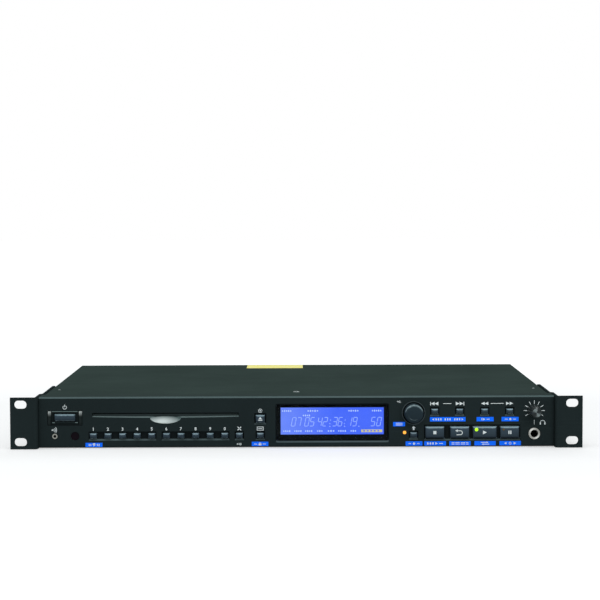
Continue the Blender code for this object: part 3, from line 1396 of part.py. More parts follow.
def make_spindle():
    """Makes the spindle motor and the turntable on its shaft."""
    motor_top = DECK_TOP + GAP + SPINDLE_MOTOR_HEIGHT
    mesh = bmesh.new()
    add_post(mesh, SPINDLE_MOTOR_RADIUS, SLOT_X, SPINDLE_BACK, DECK_TOP + GAP, motor_top, MEDIUM_SIDES)
    origin = (SLOT_X, behind(SPINDLE_BACK), DECK_TOP + GAP)
    motor = new_part("spindle_motor", mesh, STEEL, LOADER, origin)
    shade_round(motor)
    shaft = bmesh.new()
    shaft_top = turntable_base()
    add_post(shaft, SPINDLE_SHAFT_RADIUS, SLOT_X, SPINDLE_BACK, motor_top - SINK, shaft_top)
    join(motor, shaft, "shaft")
    bore = SPINDLE_SHAFT_RADIUS + GAP
    height = TURNTABLE_PLATE + TURNTABLE_CONE
    profile = [
        (0.0, height),
        (TURNTABLE_HUB_RADIUS, height),
        (TURNTABLE_CONE_RADIUS, TURNTABLE_PLATE),
        (TURNTABLE_RADIUS, TURNTABLE_PLATE),
        (TURNTABLE_RADIUS, 0.0),
        (TURNTABLE_HUB_RADIUS, 0.0),
        (TURNTABLE_HUB_RADIUS, -TURNTABLE_HUB),
        (bore, -TURNTABLE_HUB),
        (bore, GAP),
        (0.0, GAP),
    ]
    origin = (SLOT_X, behind(SPINDLE_BACK), shaft_top)
    turn_profile("turntable", profile, SOCKET_BLACK, LOADER, origin, (0.0, 0.0, 0.0), LARGE_SIDES)


def make_roller():
    """Makes the rubber roller that draws the disc in, on its shaft."""
    half = DISC_DIAMETER / 2 - LOADER_LEDGE - ROLLER_END_GAP
    reach = WALL_X + ROLLER_SHAFT_REACH
    shaft = ROLLER_SHAFT_RADIUS
    waist = ROLLER_RADIUS - ROLLER_WAIST
    profile = [
        (0.0, reach), (shaft, reach), (shaft, half), (ROLLER_RADIUS, half), (waist, 0.0),
        (ROLLER_RADIUS, -half), (shaft, -half), (shaft, -WALL_X), (0.0, -WALL_X),
    ]
    origin = (SLOT_X, behind(ROLLER_BACK), ROLLER_Z)
    turn_profile("loading_roller", profile, RUBBER, LOADER, origin, ALONG_X, MEDIUM_SIDES)


def make_loading_motor():
    """Makes the geared motor that holds the roller's shaft, beside the loader's wall."""
    low_x = SLOT_X + WALL_X + GAP
    low = (low_x, behind(LOADER_FRONT), ROLLER_Z - LOADING_MOTOR_HEIGHT / 2)
    high = (
        low_x + LOADING_MOTOR_WIDTH,
        behind(LOADER_FRONT + LOADING_MOTOR_DEPTH),
        ROLLER_Z + LOADING_MOTOR_HEIGHT / 2,
    )
    mesh = bmesh.new()
    add_block(mesh, low, high)
    motor = new_part("loading_motor", mesh, SOCKET_BLACK, LOADER, low)
    bore = bmesh.new()
    start = (low_x - OVERRUN, behind(ROLLER_BACK), ROLLER_Z)
    end = (SLOT_X + WALL_X + ROLLER_SHAFT_REACH + GAP, behind(ROLLER_BACK), ROLLER_Z)
    add_drum(bore, ROLLER_SHAFT_RADIUS + GAP, start, end, SMALL_SIDES)
    cut(motor, bore, "bore")


def make_sled():
    """Makes the pickup sled on its rod and lead screw, with the motor of the screw."""
    ends = (RAIL_START + POST_SIDE / 2 + GAP, RAIL_END - POST_SIDE / 2 - GAP)
    left = SLOT_X - RAIL_OFFSET
    right = SLOT_X + RAIL_OFFSET
    rod = bmesh.new()
    add_pin(rod, RAIL_RADIUS, left, RAIL_Z, *ends, THIN_SIDES)
    origin = (left, behind(ends[0]), RAIL_Z)
    shade_round(new_part("sled_rod", rod, STEEL, LOADER, origin))
    screw = bmesh.new()
    add_pin(screw, RAIL_RADIUS, right, RAIL_Z, *ends, THIN_SIDES)
    origin = (right, behind(ends[0]), RAIL_Z)
    shade_round(new_part("lead_screw", screw, STEEL, LOADER, origin))
    front = SLED_FRONT
    half = RAIL_OFFSET + SLED_SIDE
    bottom = RAIL_Z - SLED_THICKNESS / 2
    mesh = bmesh.new()
    loader_block(mesh, half, front, front + SLED_DEPTH, bottom, bottom + SLED_THICKNESS)
    sled = new_part("pickup_sled", mesh, SOCKET_BLACK, LOADER, (SLOT_X, behind(front), RAIL_Z))
    bores = bmesh.new()
    for x in (left, right):
        end = front + SLED_DEPTH + OVERRUN
        add_pin(bores, RAIL_RADIUS + GAP, x, RAIL_Z, front - OVERRUN, end, THIN_SIDES)
    cut(sled, bores, "bores")
    lens = bmesh.new()
    top = bottom + SLED_THICKNESS
    add_post(lens, LENS_RADIUS, SLOT_X, front + SLED_DEPTH / 2, top - SINK, top + LENS_HEIGHT)
    join(sled, lens, "lens")


def make_sled_motor():
    """Makes the small motor behind the lead screw's rear post."""
    start = RAIL_END + GAP
    x = SLOT_X + RAIL_OFFSET
    mesh = bmesh.new()
    add_pin(mesh, SLED_MOTOR_RADIUS, x, RAIL_Z, start, start + SLED_MOTOR_LENGTH, SMALL_SIDES)
    origin = (x, behind(start), RAIL_Z)
    shade_round(new_part("sled_motor", mesh, STEEL, LOADER, origin))


# Boards inside the case
def main_board_span():
    """Gives the main board's left and right edges and its front and back depths."""
    left = SLOT_X + WALL_X + MAIN_BOARD_LEFT_GAP
    return left, INSIDE_HALF - BOARD_SIDE_GAP, MAIN_BOARD_FRONT, BODY_DEPTH - BOARD_REAR_GAP


def supply_board_span():
    """Gives the power supply board's left and right edges and its front and back depths."""
    left = -INSIDE_HALF + BOARD_SIDE_GAP
    return left, left + SUPPLY_WIDTH, LOADER_END + SUPPLY_GAP, BODY_DEPTH - BOARD_REAR_GAP


def standoff_places():
    """Lists the standoffs under the corners of both boards."""
    places = []
    for left, right, front, back in (main_board_span(), supply_board_span()):
        for x in (left + STANDOFF_INSET, right - STANDOFF_INSET):
            for depth in (front + STANDOFF_INSET, back - STANDOFF_INSET):
                places.append((x, depth))
    return places


def make_board(name, span, blocks, cans):
    """Makes a circuit board with blocks and round capacitors standing on it.

    The blocks and cans are placed by shares of the board's width and depth.
    """
    left, right, front, back = span
    mesh = bmesh.new()
    low = (left, behind(front), BOARD_HEIGHT)
    high = (right, behind(back), BOARD_HEIGHT + BOARD)
    add_block(mesh, low, high)
    board = new_part(name, mesh, BOARD_GREEN, CASE, low)
    top = BOARD_HEIGHT + BOARD
    parts = bmesh.new()
    for across_share, back_share, size in blocks:
        x = left + (right - left) * across_share
        y = behind(front + (back - front) * back_share)
        width, depth, height = size
        low = (x - width / 2, y - depth / 2, top - SINK)
        add_block(parts, low, (x + width / 2, y + depth / 2, top + height))
    for across_share, back_share, radius, height in cans:
        x = left + (right - left) * across_share
        depth = front + (back - front) * back_share
        add_post(parts, radius, x, depth, top - SINK, top + height, THIN_SIDES)
    join(board, parts, "parts")


def make_boards():
    """Makes the main board and the power supply board."""
    main_block_shares = [
        (0.30, 0.35, CHIP), (0.55, 0.30, CHIP), (0.50, 0.62, CHIP),
        (0.72, 0.84, RELAY), (0.88, 0.84, RELAY),
    ]
    can_shares = [(0.70, 0.50), (0.78, 0.50), (0.86, 0.50), (0.20, 0.72), (0.28, 0.72)]
    cans = [(across, back, CAPACITOR_RADIUS, CAPACITOR_HEIGHT) for across, back in can_shares]
    make_board("main_board", main_board_span(), main_block_shares, cans)
    supply_block_shares = [(0.50, 0.50, TRANSFORMER), (0.82, 0.70, HEAT_SINK), (0.82, 0.30, HEAT_SINK)]
    supply_can_shares = [(0.22, 0.45, BULK_CAPACITOR_RADIUS, BULK_CAPACITOR_HEIGHT)]
    make_board("power_supply_board", supply_board_span(), supply_block_shares, supply_can_shares)


# Places of the rear sockets
def xlr_places():
    """Lists the X of the three XLR sockets, right to left."""
    return [INSIDE_HALF - XLR_MARGIN - XLR_PITCH * place for place in range(XLR_COUNT)]


def rca_x():
    """Gives the X of the pair of phono sockets."""
    return xlr_places()[-1] - XLR_TO_RCA


def rca_heights():
    """Gives the heights of the two phono sockets."""
    return (SOCKET_ROW - RCA_SPACING / 2, SOCKET_ROW + RCA_SPACING / 2)


def coaxial_x():
    """Gives the X of the coaxial socket."""
    return rca_x() - RCA_TO_COAXIAL


def serial_x():
    """Gives the X of the serial connector."""
    return coaxial_x() - COAXIAL_TO_SERIAL


def parallel_x():
    """Gives the X of the parallel connector."""
    return serial_x() - SERIAL_TO_PARALLEL


def inlet_x():
    """Gives the X of the mains inlet."""
    return -INSIDE_HALF + INLET_MARGIN


# Rear sockets
def make_xlr_sockets():
    """Makes the three XLR plugs: flange, body, cup and pins, all alike."""
    width, height, thickness = XLR_PLATE
    x = xlr_places()[0]
    face = BODY_DEPTH + GAP
    mouth = face + thickness
    mesh = bmesh.new()
    low = (x - width / 2, behind(face), SOCKET_ROW - height / 2)
    high = (x + width / 2, behind(mouth), SOCKET_ROW + height / 2)
    add_rounded_block(mesh, low, high, XLR_PLATE_ROUND, 1)
    origin = (x, REAR_Y, SOCKET_ROW)
    socket = new_part("xlr_output_right", mesh, SOCKET_BLACK, SOCKETS, origin)
    body = bmesh.new()
    add_pin(body, XLR_BODY_RADIUS, x, SOCKET_ROW, mouth - XLR_BODY_DEPTH, face + SINK)
    join(socket, body, "body")
    cup = bmesh.new()
    add_pin(cup, XLR_CUP_RADIUS, x, SOCKET_ROW, mouth - XLR_CUP_DEPTH, mouth + OVERRUN)
    cut(socket, cup, "cup")
    pins = bmesh.new()
    floor = mouth - XLR_CUP_DEPTH
    for place in range(XLR_PIN_COUNT):
        angle = math.pi / 2 + 2 * math.pi * place / XLR_PIN_COUNT
        pin_x = x + XLR_PIN_CIRCLE * math.cos(angle)
        pin_z = SOCKET_ROW - XLR_PIN_CIRCLE * math.sin(angle)
        add_pin(pins, XLR_PIN_RADIUS, pin_x, pin_z, floor - SINK, floor + XLR_PIN_LENGTH, THIN_SIDES)
    join(socket, pins, "pins")
    names = ["xlr_output_left", "xlr_digital_output"]
    for name, place in zip(names, xlr_places()[1:]):
        copy_part(socket, name, (place, REAR_Y, SOCKET_ROW))


def make_phono(name, x, heights):
    """Makes phono sockets on one block: a barrel and a bore at each height."""
    width, height, depth = RCA_BLOCK
    inside = BODY_DEPTH - SHEET - GAP
    low = (x - width / 2, behind(inside - depth), min(heights) - height / 2)
    high = (x + width / 2, behind(inside), max(heights) + height / 2)
    mesh = bmesh.new()
    add_block(mesh, low, high)
    socket = new_part(name, mesh, NICKEL, SOCKETS, (x, REAR_Y, SOCKET_ROW))
    barrels = bmesh.new()
    bores = bmesh.new()
    reach = BODY_DEPTH + RCA_BARREL_REACH
    for z in heights:
        add_pin(barrels, RCA_BARREL_RADIUS, x, z, inside - SINK, reach, MEDIUM_SIDES)
        add_pin(bores, RCA_BORE_RADIUS, x, z, reach - RCA_BORE_DEPTH, reach + OVERRUN, THIN_SIDES)
    join(socket, barrels, "barrels")
    cut(socket, bores, "bores")


def make_d_connector(name, x, shell_width, flange_width):
    """Makes a D-shaped connector: flange behind the panel, shell through it, two jack screws."""
    flange = field(x, SOCKET_ROW, flange_width, D_FLANGE_HEIGHT)
    inside = BODY_DEPTH - SHEET - GAP
    mesh = bmesh.new()
    add_field_block(mesh, flange, inside - D_FLANGE, inside)
    connector = new_part(name, mesh, NICKEL, SOCKETS, (x, REAR_Y, SOCKET_ROW))
    body = bmesh.new()
    area = field(x, SOCKET_ROW, shell_width, D_SHELL_HEIGHT)
    add_field_block(body, area, inside - D_FLANGE - D_BODY_DEPTH, inside - D_FLANGE + SINK)
    join(connector, body, "body")
    shell = bmesh.new()
    reach = BODY_DEPTH + D_SHELL_REACH
    vertices = add_field_block(shell, area, inside - SINK, reach)
    for vertex in vertices:
        if vertex.co.z < SOCKET_ROW:
            vertex.co.x += D_SHELL_SLANT if vertex.co.x < x else -D_SHELL_SLANT
    join(connector, shell, "shell")


def make_inlet():
    """Makes the mains inlet: flange, body, keyed cup and three blades."""
    x = inlet_x()
    width, height, thickness = INLET_PLATE
    face = BODY_DEPTH + GAP
    mouth = face + thickness
    mesh = bmesh.new()
    low = (x - width / 2, behind(face), SOCKET_ROW - height / 2)
    high = (x + width / 2, behind(mouth), SOCKET_ROW + height / 2)
    add_rounded_block(mesh, low, high, INLET_PLATE_ROUND, 1)
    inlet = new_part("ac_inlet", mesh, SOCKET_BLACK, SOCKETS, (x, REAR_Y, SOCKET_ROW))
    body = bmesh.new()
    area = field(x, SOCKET_ROW, INLET_BODY[0], INLET_BODY[1])
    add_field_block(body, area, face - INLET_BODY[2], face + SINK)
    join(inlet, body, "body")
    cup = bmesh.new()
    area = field(x, SOCKET_ROW, INLET_CUP[0], INLET_CUP[1])
    floor = mouth - INLET_CUP[2]
    vertices = add_field_block(cup, area, floor, mouth + OVERRUN)
    cup.edges.index_update()
    upper = [edge for edge in edges_along(vertices, 1) if edge.verts[0].co.z > SOCKET_ROW]
    round_edges(cup, upper, INLET_CUP_CUT, 1)
    cut(inlet, cup, "cup")
    blades = bmesh.new()
    blade_width, blade_height, blade_length = INLET_BLADE
    places = [
        (x - INLET_BLADE_SPREAD, SOCKET_ROW - INLET_LINE_DROP),
        (x, SOCKET_ROW + INLET_EARTH_LIFT),
        (x + INLET_BLADE_SPREAD, SOCKET_ROW - INLET_LINE_DROP),
    ]
    for blade_x, blade_z in places:
        area = field(blade_x, blade_z, blade_width, blade_height)
        add_field_block(blades, area, floor - SINK, floor + blade_length)
    join(inlet, blades, "blades")


def make_jack_screws():
    """Adds the jack screws that stand out of the rear panel beside each D connector."""
    for name, x, flange_width, shell_width in (
        ("serial_connector", serial_x(), SERIAL_FLANGE, SERIAL_SHELL),
        ("parallel_connector", parallel_x(), PARALLEL_FLANGE, PARALLEL_SHELL),
    ):
        offset = (flange_width + shell_width) / 4 + D_SHELL_SLANT / 2
        inside = BODY_DEPTH - SHEET - GAP
        screws = bmesh.new()
        for side in (-1, 1):
            place = x + side * offset
            reach = BODY_DEPTH + D_SCREW_REACH
            add_pin(screws, D_SCREW_RADIUS, place, SOCKET_ROW, inside - SINK, reach, HEX_SIDES)
        join(bpy.data.objects[name], screws, "jack_screws")
        holes = bmesh.new()
        for side in (-1, 1):
            place = x + side * offset
            start = BODY_DEPTH - SHEET - OVERRUN
            end = BODY_DEPTH + OVERRUN
            add_pin(holes, D_SCREW_RADIUS + GAP, place, SOCKET_ROW, start, end, HEX_SIDES)
        cut(bpy.data.objects["rear_panel"], holes, f"{name}_screw_holes")


def make_player():
    """Makes every sub-part."""
    make_front_panel()
    make_caps()
    make_window()
    make_display()
    make_sensor_window()
    make_phones_jack()
    make_remote_jack()
    make_front_board()
    make_dial()
    make_rotor()
    make_knob()
    make_power_switch()
    make_chassis()
    make_cover()
    make_rear_panel()
    make_ear("rack_ear_left", -1)
    make_ear("rack_ear_right", 1)
    make_loader_frame()
    make_loader_top()
    make_clamp_arm()
    make_spindle()
    make_roller()
    make_loading_motor()
    make_sled()
    make_sled_motor()
    make_boards()
    make_xlr_sockets()
    make_phono("rca_outputs", rca_x(), rca_heights())
    make_phono("coaxial_output", coaxial_x(), (SOCKET_ROW,))
    make_d_connector("serial_connector", serial_x(), SERIAL_SHELL, SERIAL_FLANGE)
    make_d_connector("parallel_connector", parallel_x(), PARALLEL_SHELL, PARALLEL_FLANGE)
    make_jack_screws()
    make_inlet()


make_player()
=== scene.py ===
"""Looks of the slot-loading rack CD player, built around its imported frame.

Each sub-assembly is a class that models its pieces where the frame has them, in metres, gives
them their finishes and lets them ride on the body that carries them. Sizes and places that are
written in millimetres are multiplied by MM, or turned by mm(). The front faces -Y.
"""

import json
import logging
import math
from collections.abc import Callable, Sequence
from dataclasses import dataclass
from enum import Enum

import bmesh
import bpy
from mathutils import Matrix, Vector

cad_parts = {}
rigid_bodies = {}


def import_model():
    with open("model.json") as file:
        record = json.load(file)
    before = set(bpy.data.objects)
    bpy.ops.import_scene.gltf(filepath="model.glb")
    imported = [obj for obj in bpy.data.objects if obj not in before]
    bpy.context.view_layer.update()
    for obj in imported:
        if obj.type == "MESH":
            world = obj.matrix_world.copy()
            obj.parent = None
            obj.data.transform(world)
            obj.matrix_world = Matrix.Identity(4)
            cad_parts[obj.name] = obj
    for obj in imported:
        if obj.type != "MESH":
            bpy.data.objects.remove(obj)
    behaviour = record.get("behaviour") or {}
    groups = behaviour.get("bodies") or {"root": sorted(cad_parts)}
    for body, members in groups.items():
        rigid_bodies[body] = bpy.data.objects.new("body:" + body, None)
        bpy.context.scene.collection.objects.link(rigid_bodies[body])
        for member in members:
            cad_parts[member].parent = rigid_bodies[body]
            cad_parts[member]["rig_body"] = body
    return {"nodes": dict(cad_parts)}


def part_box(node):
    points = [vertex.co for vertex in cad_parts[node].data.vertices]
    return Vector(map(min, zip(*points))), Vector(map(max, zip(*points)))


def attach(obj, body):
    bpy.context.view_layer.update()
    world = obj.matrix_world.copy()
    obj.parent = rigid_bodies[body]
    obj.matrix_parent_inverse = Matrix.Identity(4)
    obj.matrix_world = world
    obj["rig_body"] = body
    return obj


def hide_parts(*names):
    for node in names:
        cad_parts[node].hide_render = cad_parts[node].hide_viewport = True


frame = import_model()
log = logging.getLogger("cd_player")

Colour = tuple[float, float, float]
Point = tuple[float, float, float]
Range = tuple[float, float]
Profile = Sequence[Range]
Test = Callable[[Vector, Vector], bool]
Thing = bpy.types.Object
Material = bpy.types.Material
Tree = bpy.types.NodeTree
Node = bpy.types.Node
Socket = bpy.types.NodeSocket

MM = 0.001
MERGE = 0.002 * MM
LEVEL = 0.01 * MM
FLAT = math.radians(0.6)
SHARP = math.radians(32)
STRAIGHT = 0.9
END = math.inf
OPEN: Range = (-END, END)
ARC_STEPS = 14
SATIN_GLOSS = 0.06
COLLAR_PROUD = 0.4 * MM
PHONES_SOCKET = (201.3 * MM, 11.2 * MM)
BALANCED = ("xlr_output_right", "xlr_output_left", "xlr_digital_output")
CASE = "case"


def mm(*values: float) -> tuple[float, ...]:
    """Gives millimetres in metres."""
    return tuple(value * MM for value in values)


class Side(Enum):
    """Which way a turned piece or a socket points."""

    FRONT = math.pi / 2
    REAR = -math.pi / 2

    def matrix(self) -> Matrix:
        """Gives the turn that points +Z this way."""
        return Matrix.Rotation(self.value, 4, "X")

    def at(self, x: float, y: float, z: float) -> Matrix:
        """Gives the same turn, carried to a place."""
        return Matrix.Translation((x, y, z)) @ self.matrix()


@dataclass(frozen=True)
class Places:
    """Planes and middles of the player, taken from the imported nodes."""

    face: float
    rear: float
    cover: float

    @classmethod
    def measured(cls) -> "Places":
        """Reads the places off the frame."""
        return cls(
            face=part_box("front_panel")[0].y + COLLAR_PROUD,
            rear=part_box("rear_panel")[1].y,
            cover=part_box("top_cover")[1].z,
        )

    @staticmethod
    def middle(node: str) -> Vector:
        """Gives the middle of a node's box."""
        low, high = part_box(node)
        return (low + high) / 2


PLACES = Places.measured()


# Bench: modelling with edit-mode operators
def deselect_all() -> None:
    """Leaves edit mode and clears the selection."""
    if bpy.context.object and bpy.context.object.mode != "OBJECT":
        bpy.ops.object.mode_set(mode="OBJECT")
    bpy.ops.object.select_all(action="DESELECT")


def activate(thing: Thing) -> None:
    """Selects one object alone and makes it the active one."""
    deselect_all()
    thing.select_set(True)
    bpy.context.view_layer.objects.active = thing


def looks_up(centre: Vector, normal: Vector) -> bool:
    """Tells whether a face looks up."""
    return normal.z > STRAIGHT


def looks_forwards(centre: Vector, normal: Vector) -> bool:
    """Tells whether a face looks to the front."""
    return normal.y < -STRAIGHT


def runs_across(centre: Vector, run: Vector) -> bool:
    """Tells whether an edge runs from side to side."""
    return abs(run.x) > MM


def at_front(plane: float) -> Test:
    """Makes a test for the faces at one depth that look to the front."""
    return lambda c, n: n.y < -0.99 and abs(c.y - plane) < LEVEL


def face_outwards(mesh: bmesh.types.BMesh) -> None:
    """Turns each closed shell of a mesh so that its faces look out of it."""
    mesh.faces.ensure_lookup_table()
    left = {face.index: face for face in mesh.faces}
    while left:
        shell, edge = [], [left.pop(min(left))]
        while edge:
            face = edge.pop()
            shell.append(face)
            for near in (other for side in face.edges for other in side.link_faces):
                if left.pop(near.index, None):
                    edge.append(near)
        centres = [face.calc_center_median() for face in shell]
        middle = sum(centres, Vector()) / len(shell)
        filled = sum(
            (centre - middle).dot(face.normal) * face.calc_area()
            for centre, face in zip(centres, shell)
        )
        if filled < 0.0:
            bmesh.ops.reverse_faces(mesh, faces=shell)


class Draft:
    """A mesh on the bench. Faces and edges are picked by place or normal, then worked."""

    def __init__(self, name: str) -> None:
        """Takes the primitive that was just added, under a name, into edit mode."""
        self.thing = bpy.context.object
        self.thing.name = name
        self.thing.data.name = name
        bpy.ops.object.transform_apply(location=True, rotation=True, scale=True)
        bpy.ops.object.mode_set(mode="EDIT")
        bpy.ops.mesh.select_mode(type="FACE")

    @classmethod
    def block(cls, name: str, low: Sequence[float], high: Sequence[float]) -> "Draft":
        """Starts from a box between two corners."""
        deselect_all()
        low, high = Vector(low), Vector(high)
        bpy.ops.mesh.primitive_cube_add(size=1.0, location=(low + high) / 2, scale=high - low)
        return cls(name)

    @classmethod
    def packed(cls, name: str, node: str) -> "Draft":
        """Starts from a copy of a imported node, its loose triangles merged into whole faces."""
        thing = bpy.data.objects.new(name, frame["nodes"][node].data.copy())
        bpy.context.scene.collection.objects.link(thing)
        activate(thing)
        if thing.data.has_custom_normals:
            bpy.ops.mesh.customdata_custom_splitnormals_clear()
        draft = cls(name)
        draft.pick_all()
        bpy.ops.mesh.remove_doubles(threshold=MERGE)
        draft.pick_all()
        bpy.ops.mesh.dissolve_limited(angle_limit=FLAT)
        return draft

    @classmethod
    def disc(cls, name: str, radius: float, sides: int, turn: float = 0.0) -> "Draft":
        """Starts from a flat disc about Z."""
        deselect_all()
        bpy.ops.mesh.primitive_circle_add(
            vertices=sides, radius=radius, fill_type="NGON", rotation=(0.0, 0.0, turn)
        )
        return cls(name)

    @classmethod
    def turned(cls, name: str, profile: Profile, sides: int) -> "Draft":
        """Turns a closed body about Z: its end face is carried through a profile.

        Args:
            name: The new object's name.
            profile: Rings as (radius, height); the last one stays as the end face.
            sides: Number of sides.

        Returns:
            The draft, in edit mode with its end face picked.
        """
        draft = cls.disc(name, profile[0][0], sides)
        bpy.ops.transform.translate(value=(0.0, 0.0, profile[0][1]))
        for (radius, height), (next_radius, next_height) in zip(profile, profile[1:]):
            draft.extrude((0.0, 0.0, next_height - height))
            share = next_radius / radius
            draft.stretch((share, share, 1.0), (0.0, 0.0, next_height))
        return draft

    def pick(self, test: Test, kind: str = "FACE") -> "Draft":
        """Picks faces or edges by a test on their middle and normal, or middle and run."""
        bpy.ops.mesh.select_mode(type=kind)
        bpy.ops.mesh.select_all(action="DESELECT")
        mesh = bmesh.from_edit_mesh(self.thing.data)
        if kind == "FACE":
            chosen = [f for f in mesh.faces if test(f.calc_center_median(), f.normal)]
        else:
            chosen = [
                e for e in mesh.edges
                if test((e.verts[0].co + e.verts[1].co) / 2, e.verts[1].co - e.verts[0].co)
            ]
        for item in chosen:
            item.select_set(True)
        bmesh.update_edit_mesh(self.thing.data)
        return self

    def pick_all(self) -> "Draft":
        """Picks everything."""
        bpy.ops.mesh.select_all(action="SELECT")
        return self

    def extrude(self, run: Sequence[float]) -> "Draft":
        """Extrudes what is picked."""
        bpy.ops.mesh.extrude_region_move(TRANSFORM_OT_translate={"value": run})
        return self

    def inset(self, width: float, sink: float = 0.0, apart: bool = False) -> "Draft":
        """Insets the picked faces, and sinks them when asked."""
        bpy.ops.mesh.inset(thickness=width, depth=-sink, use_individual=apart)
        return self

    def stretch(self, factors: Sequence[float], about: Sequence[float]) -> "Draft":
        """Scales what is picked about a point."""
        bpy.ops.transform.resize(value=factors, center_override=about)
        return self

    def slide(self, run: Sequence[float]) -> "Draft":
        """Moves what is picked."""
        bpy.ops.transform.translate(value=run)
        return self

    def bevel(self, width: float, segments: int) -> "Draft":
        """Bevels the picked edges."""
        bpy.ops.mesh.bevel(offset=width, segments=segments, affect="EDGES")
        return self

    def done(self, finish: Material, move: Matrix | None = None, rounding: float = 0.0) -> Thing:
        """Leaves edit mode and finishes the piece.

        Args:
            finish: The material that it gets.
            move: A turn and place that go into its mesh.
            rounding: Width of a bevel on its sharp edges, or zero for none.

        Returns:
            The finished object, which stays at the origin.
        """
        self.pick_all()
        bpy.ops.mesh.normals_make_consistent(inside=False)
        face_outwards(bmesh.from_edit_mesh(self.thing.data))
        bmesh.update_edit_mesh(self.thing.data)
        bpy.ops.object.mode_set(mode="OBJECT")
        if move is not None:
            self.thing.data.transform(move)
        self.thing.data.materials.clear()
        self.thing.data.materials.append(finish)
        if rounding > 0.0:
            soften(self.thing, rounding)
        smooth(self.thing)
        return self.thing


def soften(thing: Thing, width: float) -> None:
    """Rounds an object's sharp edges with an applied bevel."""
    activate(thing)
    modifier = thing.modifiers.new("rounding", "BEVEL")
    modifier.width = width
    modifier.segments = 2
    modifier.limit_method = "ANGLE"
    modifier.angle_limit = SHARP
    bpy.ops.object.modifier_apply(modifier="rounding")


def smooth(thing: Thing) -> None:
    """Shades an object smooth but for its sharp edges, its large faces staying flat."""
    activate(thing)
    bpy.ops.object.shade_smooth_by_angle(angle=SHARP)
    modifier = thing.modifiers.new("flat_faces", "WEIGHTED_NORMAL")
    modifier.keep_sharp = True
    bpy.ops.object.modifier_apply(modifier="flat_faces")


def mark_edges(thing: Thing, widest: float = 0.7 * MM) -> None:
    """Writes where rounded edges run, most on those that face up: wear along edges, with a painted
    highlight on those that face up.
    """
    mesh = thing.data
    shares = [0.0] * len(mesh.loops)
    for face in mesh.polygons:
        corners = [mesh.vertices[i].co for i in face.vertices]
        longest = max((a - b).length for a, b in zip(corners, corners[1:] + corners[:1]))
        if longest > 0.0 and face.area / longest < widest:
            for loop in face.loop_indices:
                # Up-facing edges get the most: a painted highlight where light from above falls.
                shares[loop] = min(1.0, 0.1 + 1.8 * max(0.0, face.normal.z))
    attribute = mesh.attributes.new("edge", "FLOAT", "CORNER")
    attribute.data.foreach_set("value", shares)


def mark_rise(thing: Thing, depth: float = 1.0) -> None:
    """Writes how high each point stands, from 0 at the foot to 1 at the top of its front, for
    painted shade at the foot and a painted highlight at the top.
    """
    points = [vertex.co for vertex in thing.data.vertices]
    front = min(point.y for point in points)
    heights = [point.z for point in points if point.y < front + depth]
    low, high = min(heights), max(heights)
    attribute = thing.data.attributes.new("rise", "FLOAT", "POINT")
    attribute.data.foreach_set("value", [(point.z - low) / (high - low) for point in points])


def dress(thing: Thing, finish: Material, test: Test) -> None:
    """Gives another finish to the faces that pass a test on their middle and normal."""
    thing.data.materials.append(finish)
    place = len(thing.data.materials) - 1
    for face in thing.data.polygons:
        if test(face.center, face.normal):
            face.material_index = place


def resurface(node: str, name: str, finish: Material, width: float = 0.0) -> Thing:
    """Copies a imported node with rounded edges, to ride on its body and stand for it."""
    thing = Draft.packed(name, node).done(finish, rounding=width)
    mark_edges(thing)
    return settle(thing, frame["nodes"][node]["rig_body"], [node])


def copy_of(thing: Thing, name: str, move: Matrix) -> Thing:
    """Copies an object with its own mesh, moved."""
    copy = bpy.data.objects.new(name, thing.data.copy())
    copy.data.name = name
    copy.data.transform(move)
    bpy.context.scene.collection.objects.link(copy)
    return copy


def assembled(name: str, things: Sequence[Thing]) -> Thing:
    """Joins objects into one piece, each keeping its finish."""
    deselect_all()
    for thing in things:
        thing.select_set(True)
    bpy.context.view_layer.objects.active = things[0]
    if len(things) > 1:
        bpy.ops.object.join()
    things[0].name = name
    things[0].data.name = name
    return things[0]


def settle(thing: Thing, body: str, nodes: Sequence[str] = ()) -> Thing:
    """Lets a finished piece ride on its body, hides the nodes that it stands for and logs its
    faces.
    """
    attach(thing, body)
    if nodes:
        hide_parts(*nodes)
    log.info("%s rides on %s, %d faces", thing.name, body, len(thing.data.polygons))
    return thing


def round_points(
    x: float, z: float, radius: float, start: float, end: float, steps: int
) -> list[tuple[float, float]]:
    """Gives points about a middle, from one angle in degrees to another."""
    turns = [math.radians(start + (end - start) * place / steps) for place in range(steps + 1)]
    return [(x + radius * math.cos(turn), z + radius * math.sin(turn)) for turn in turns]


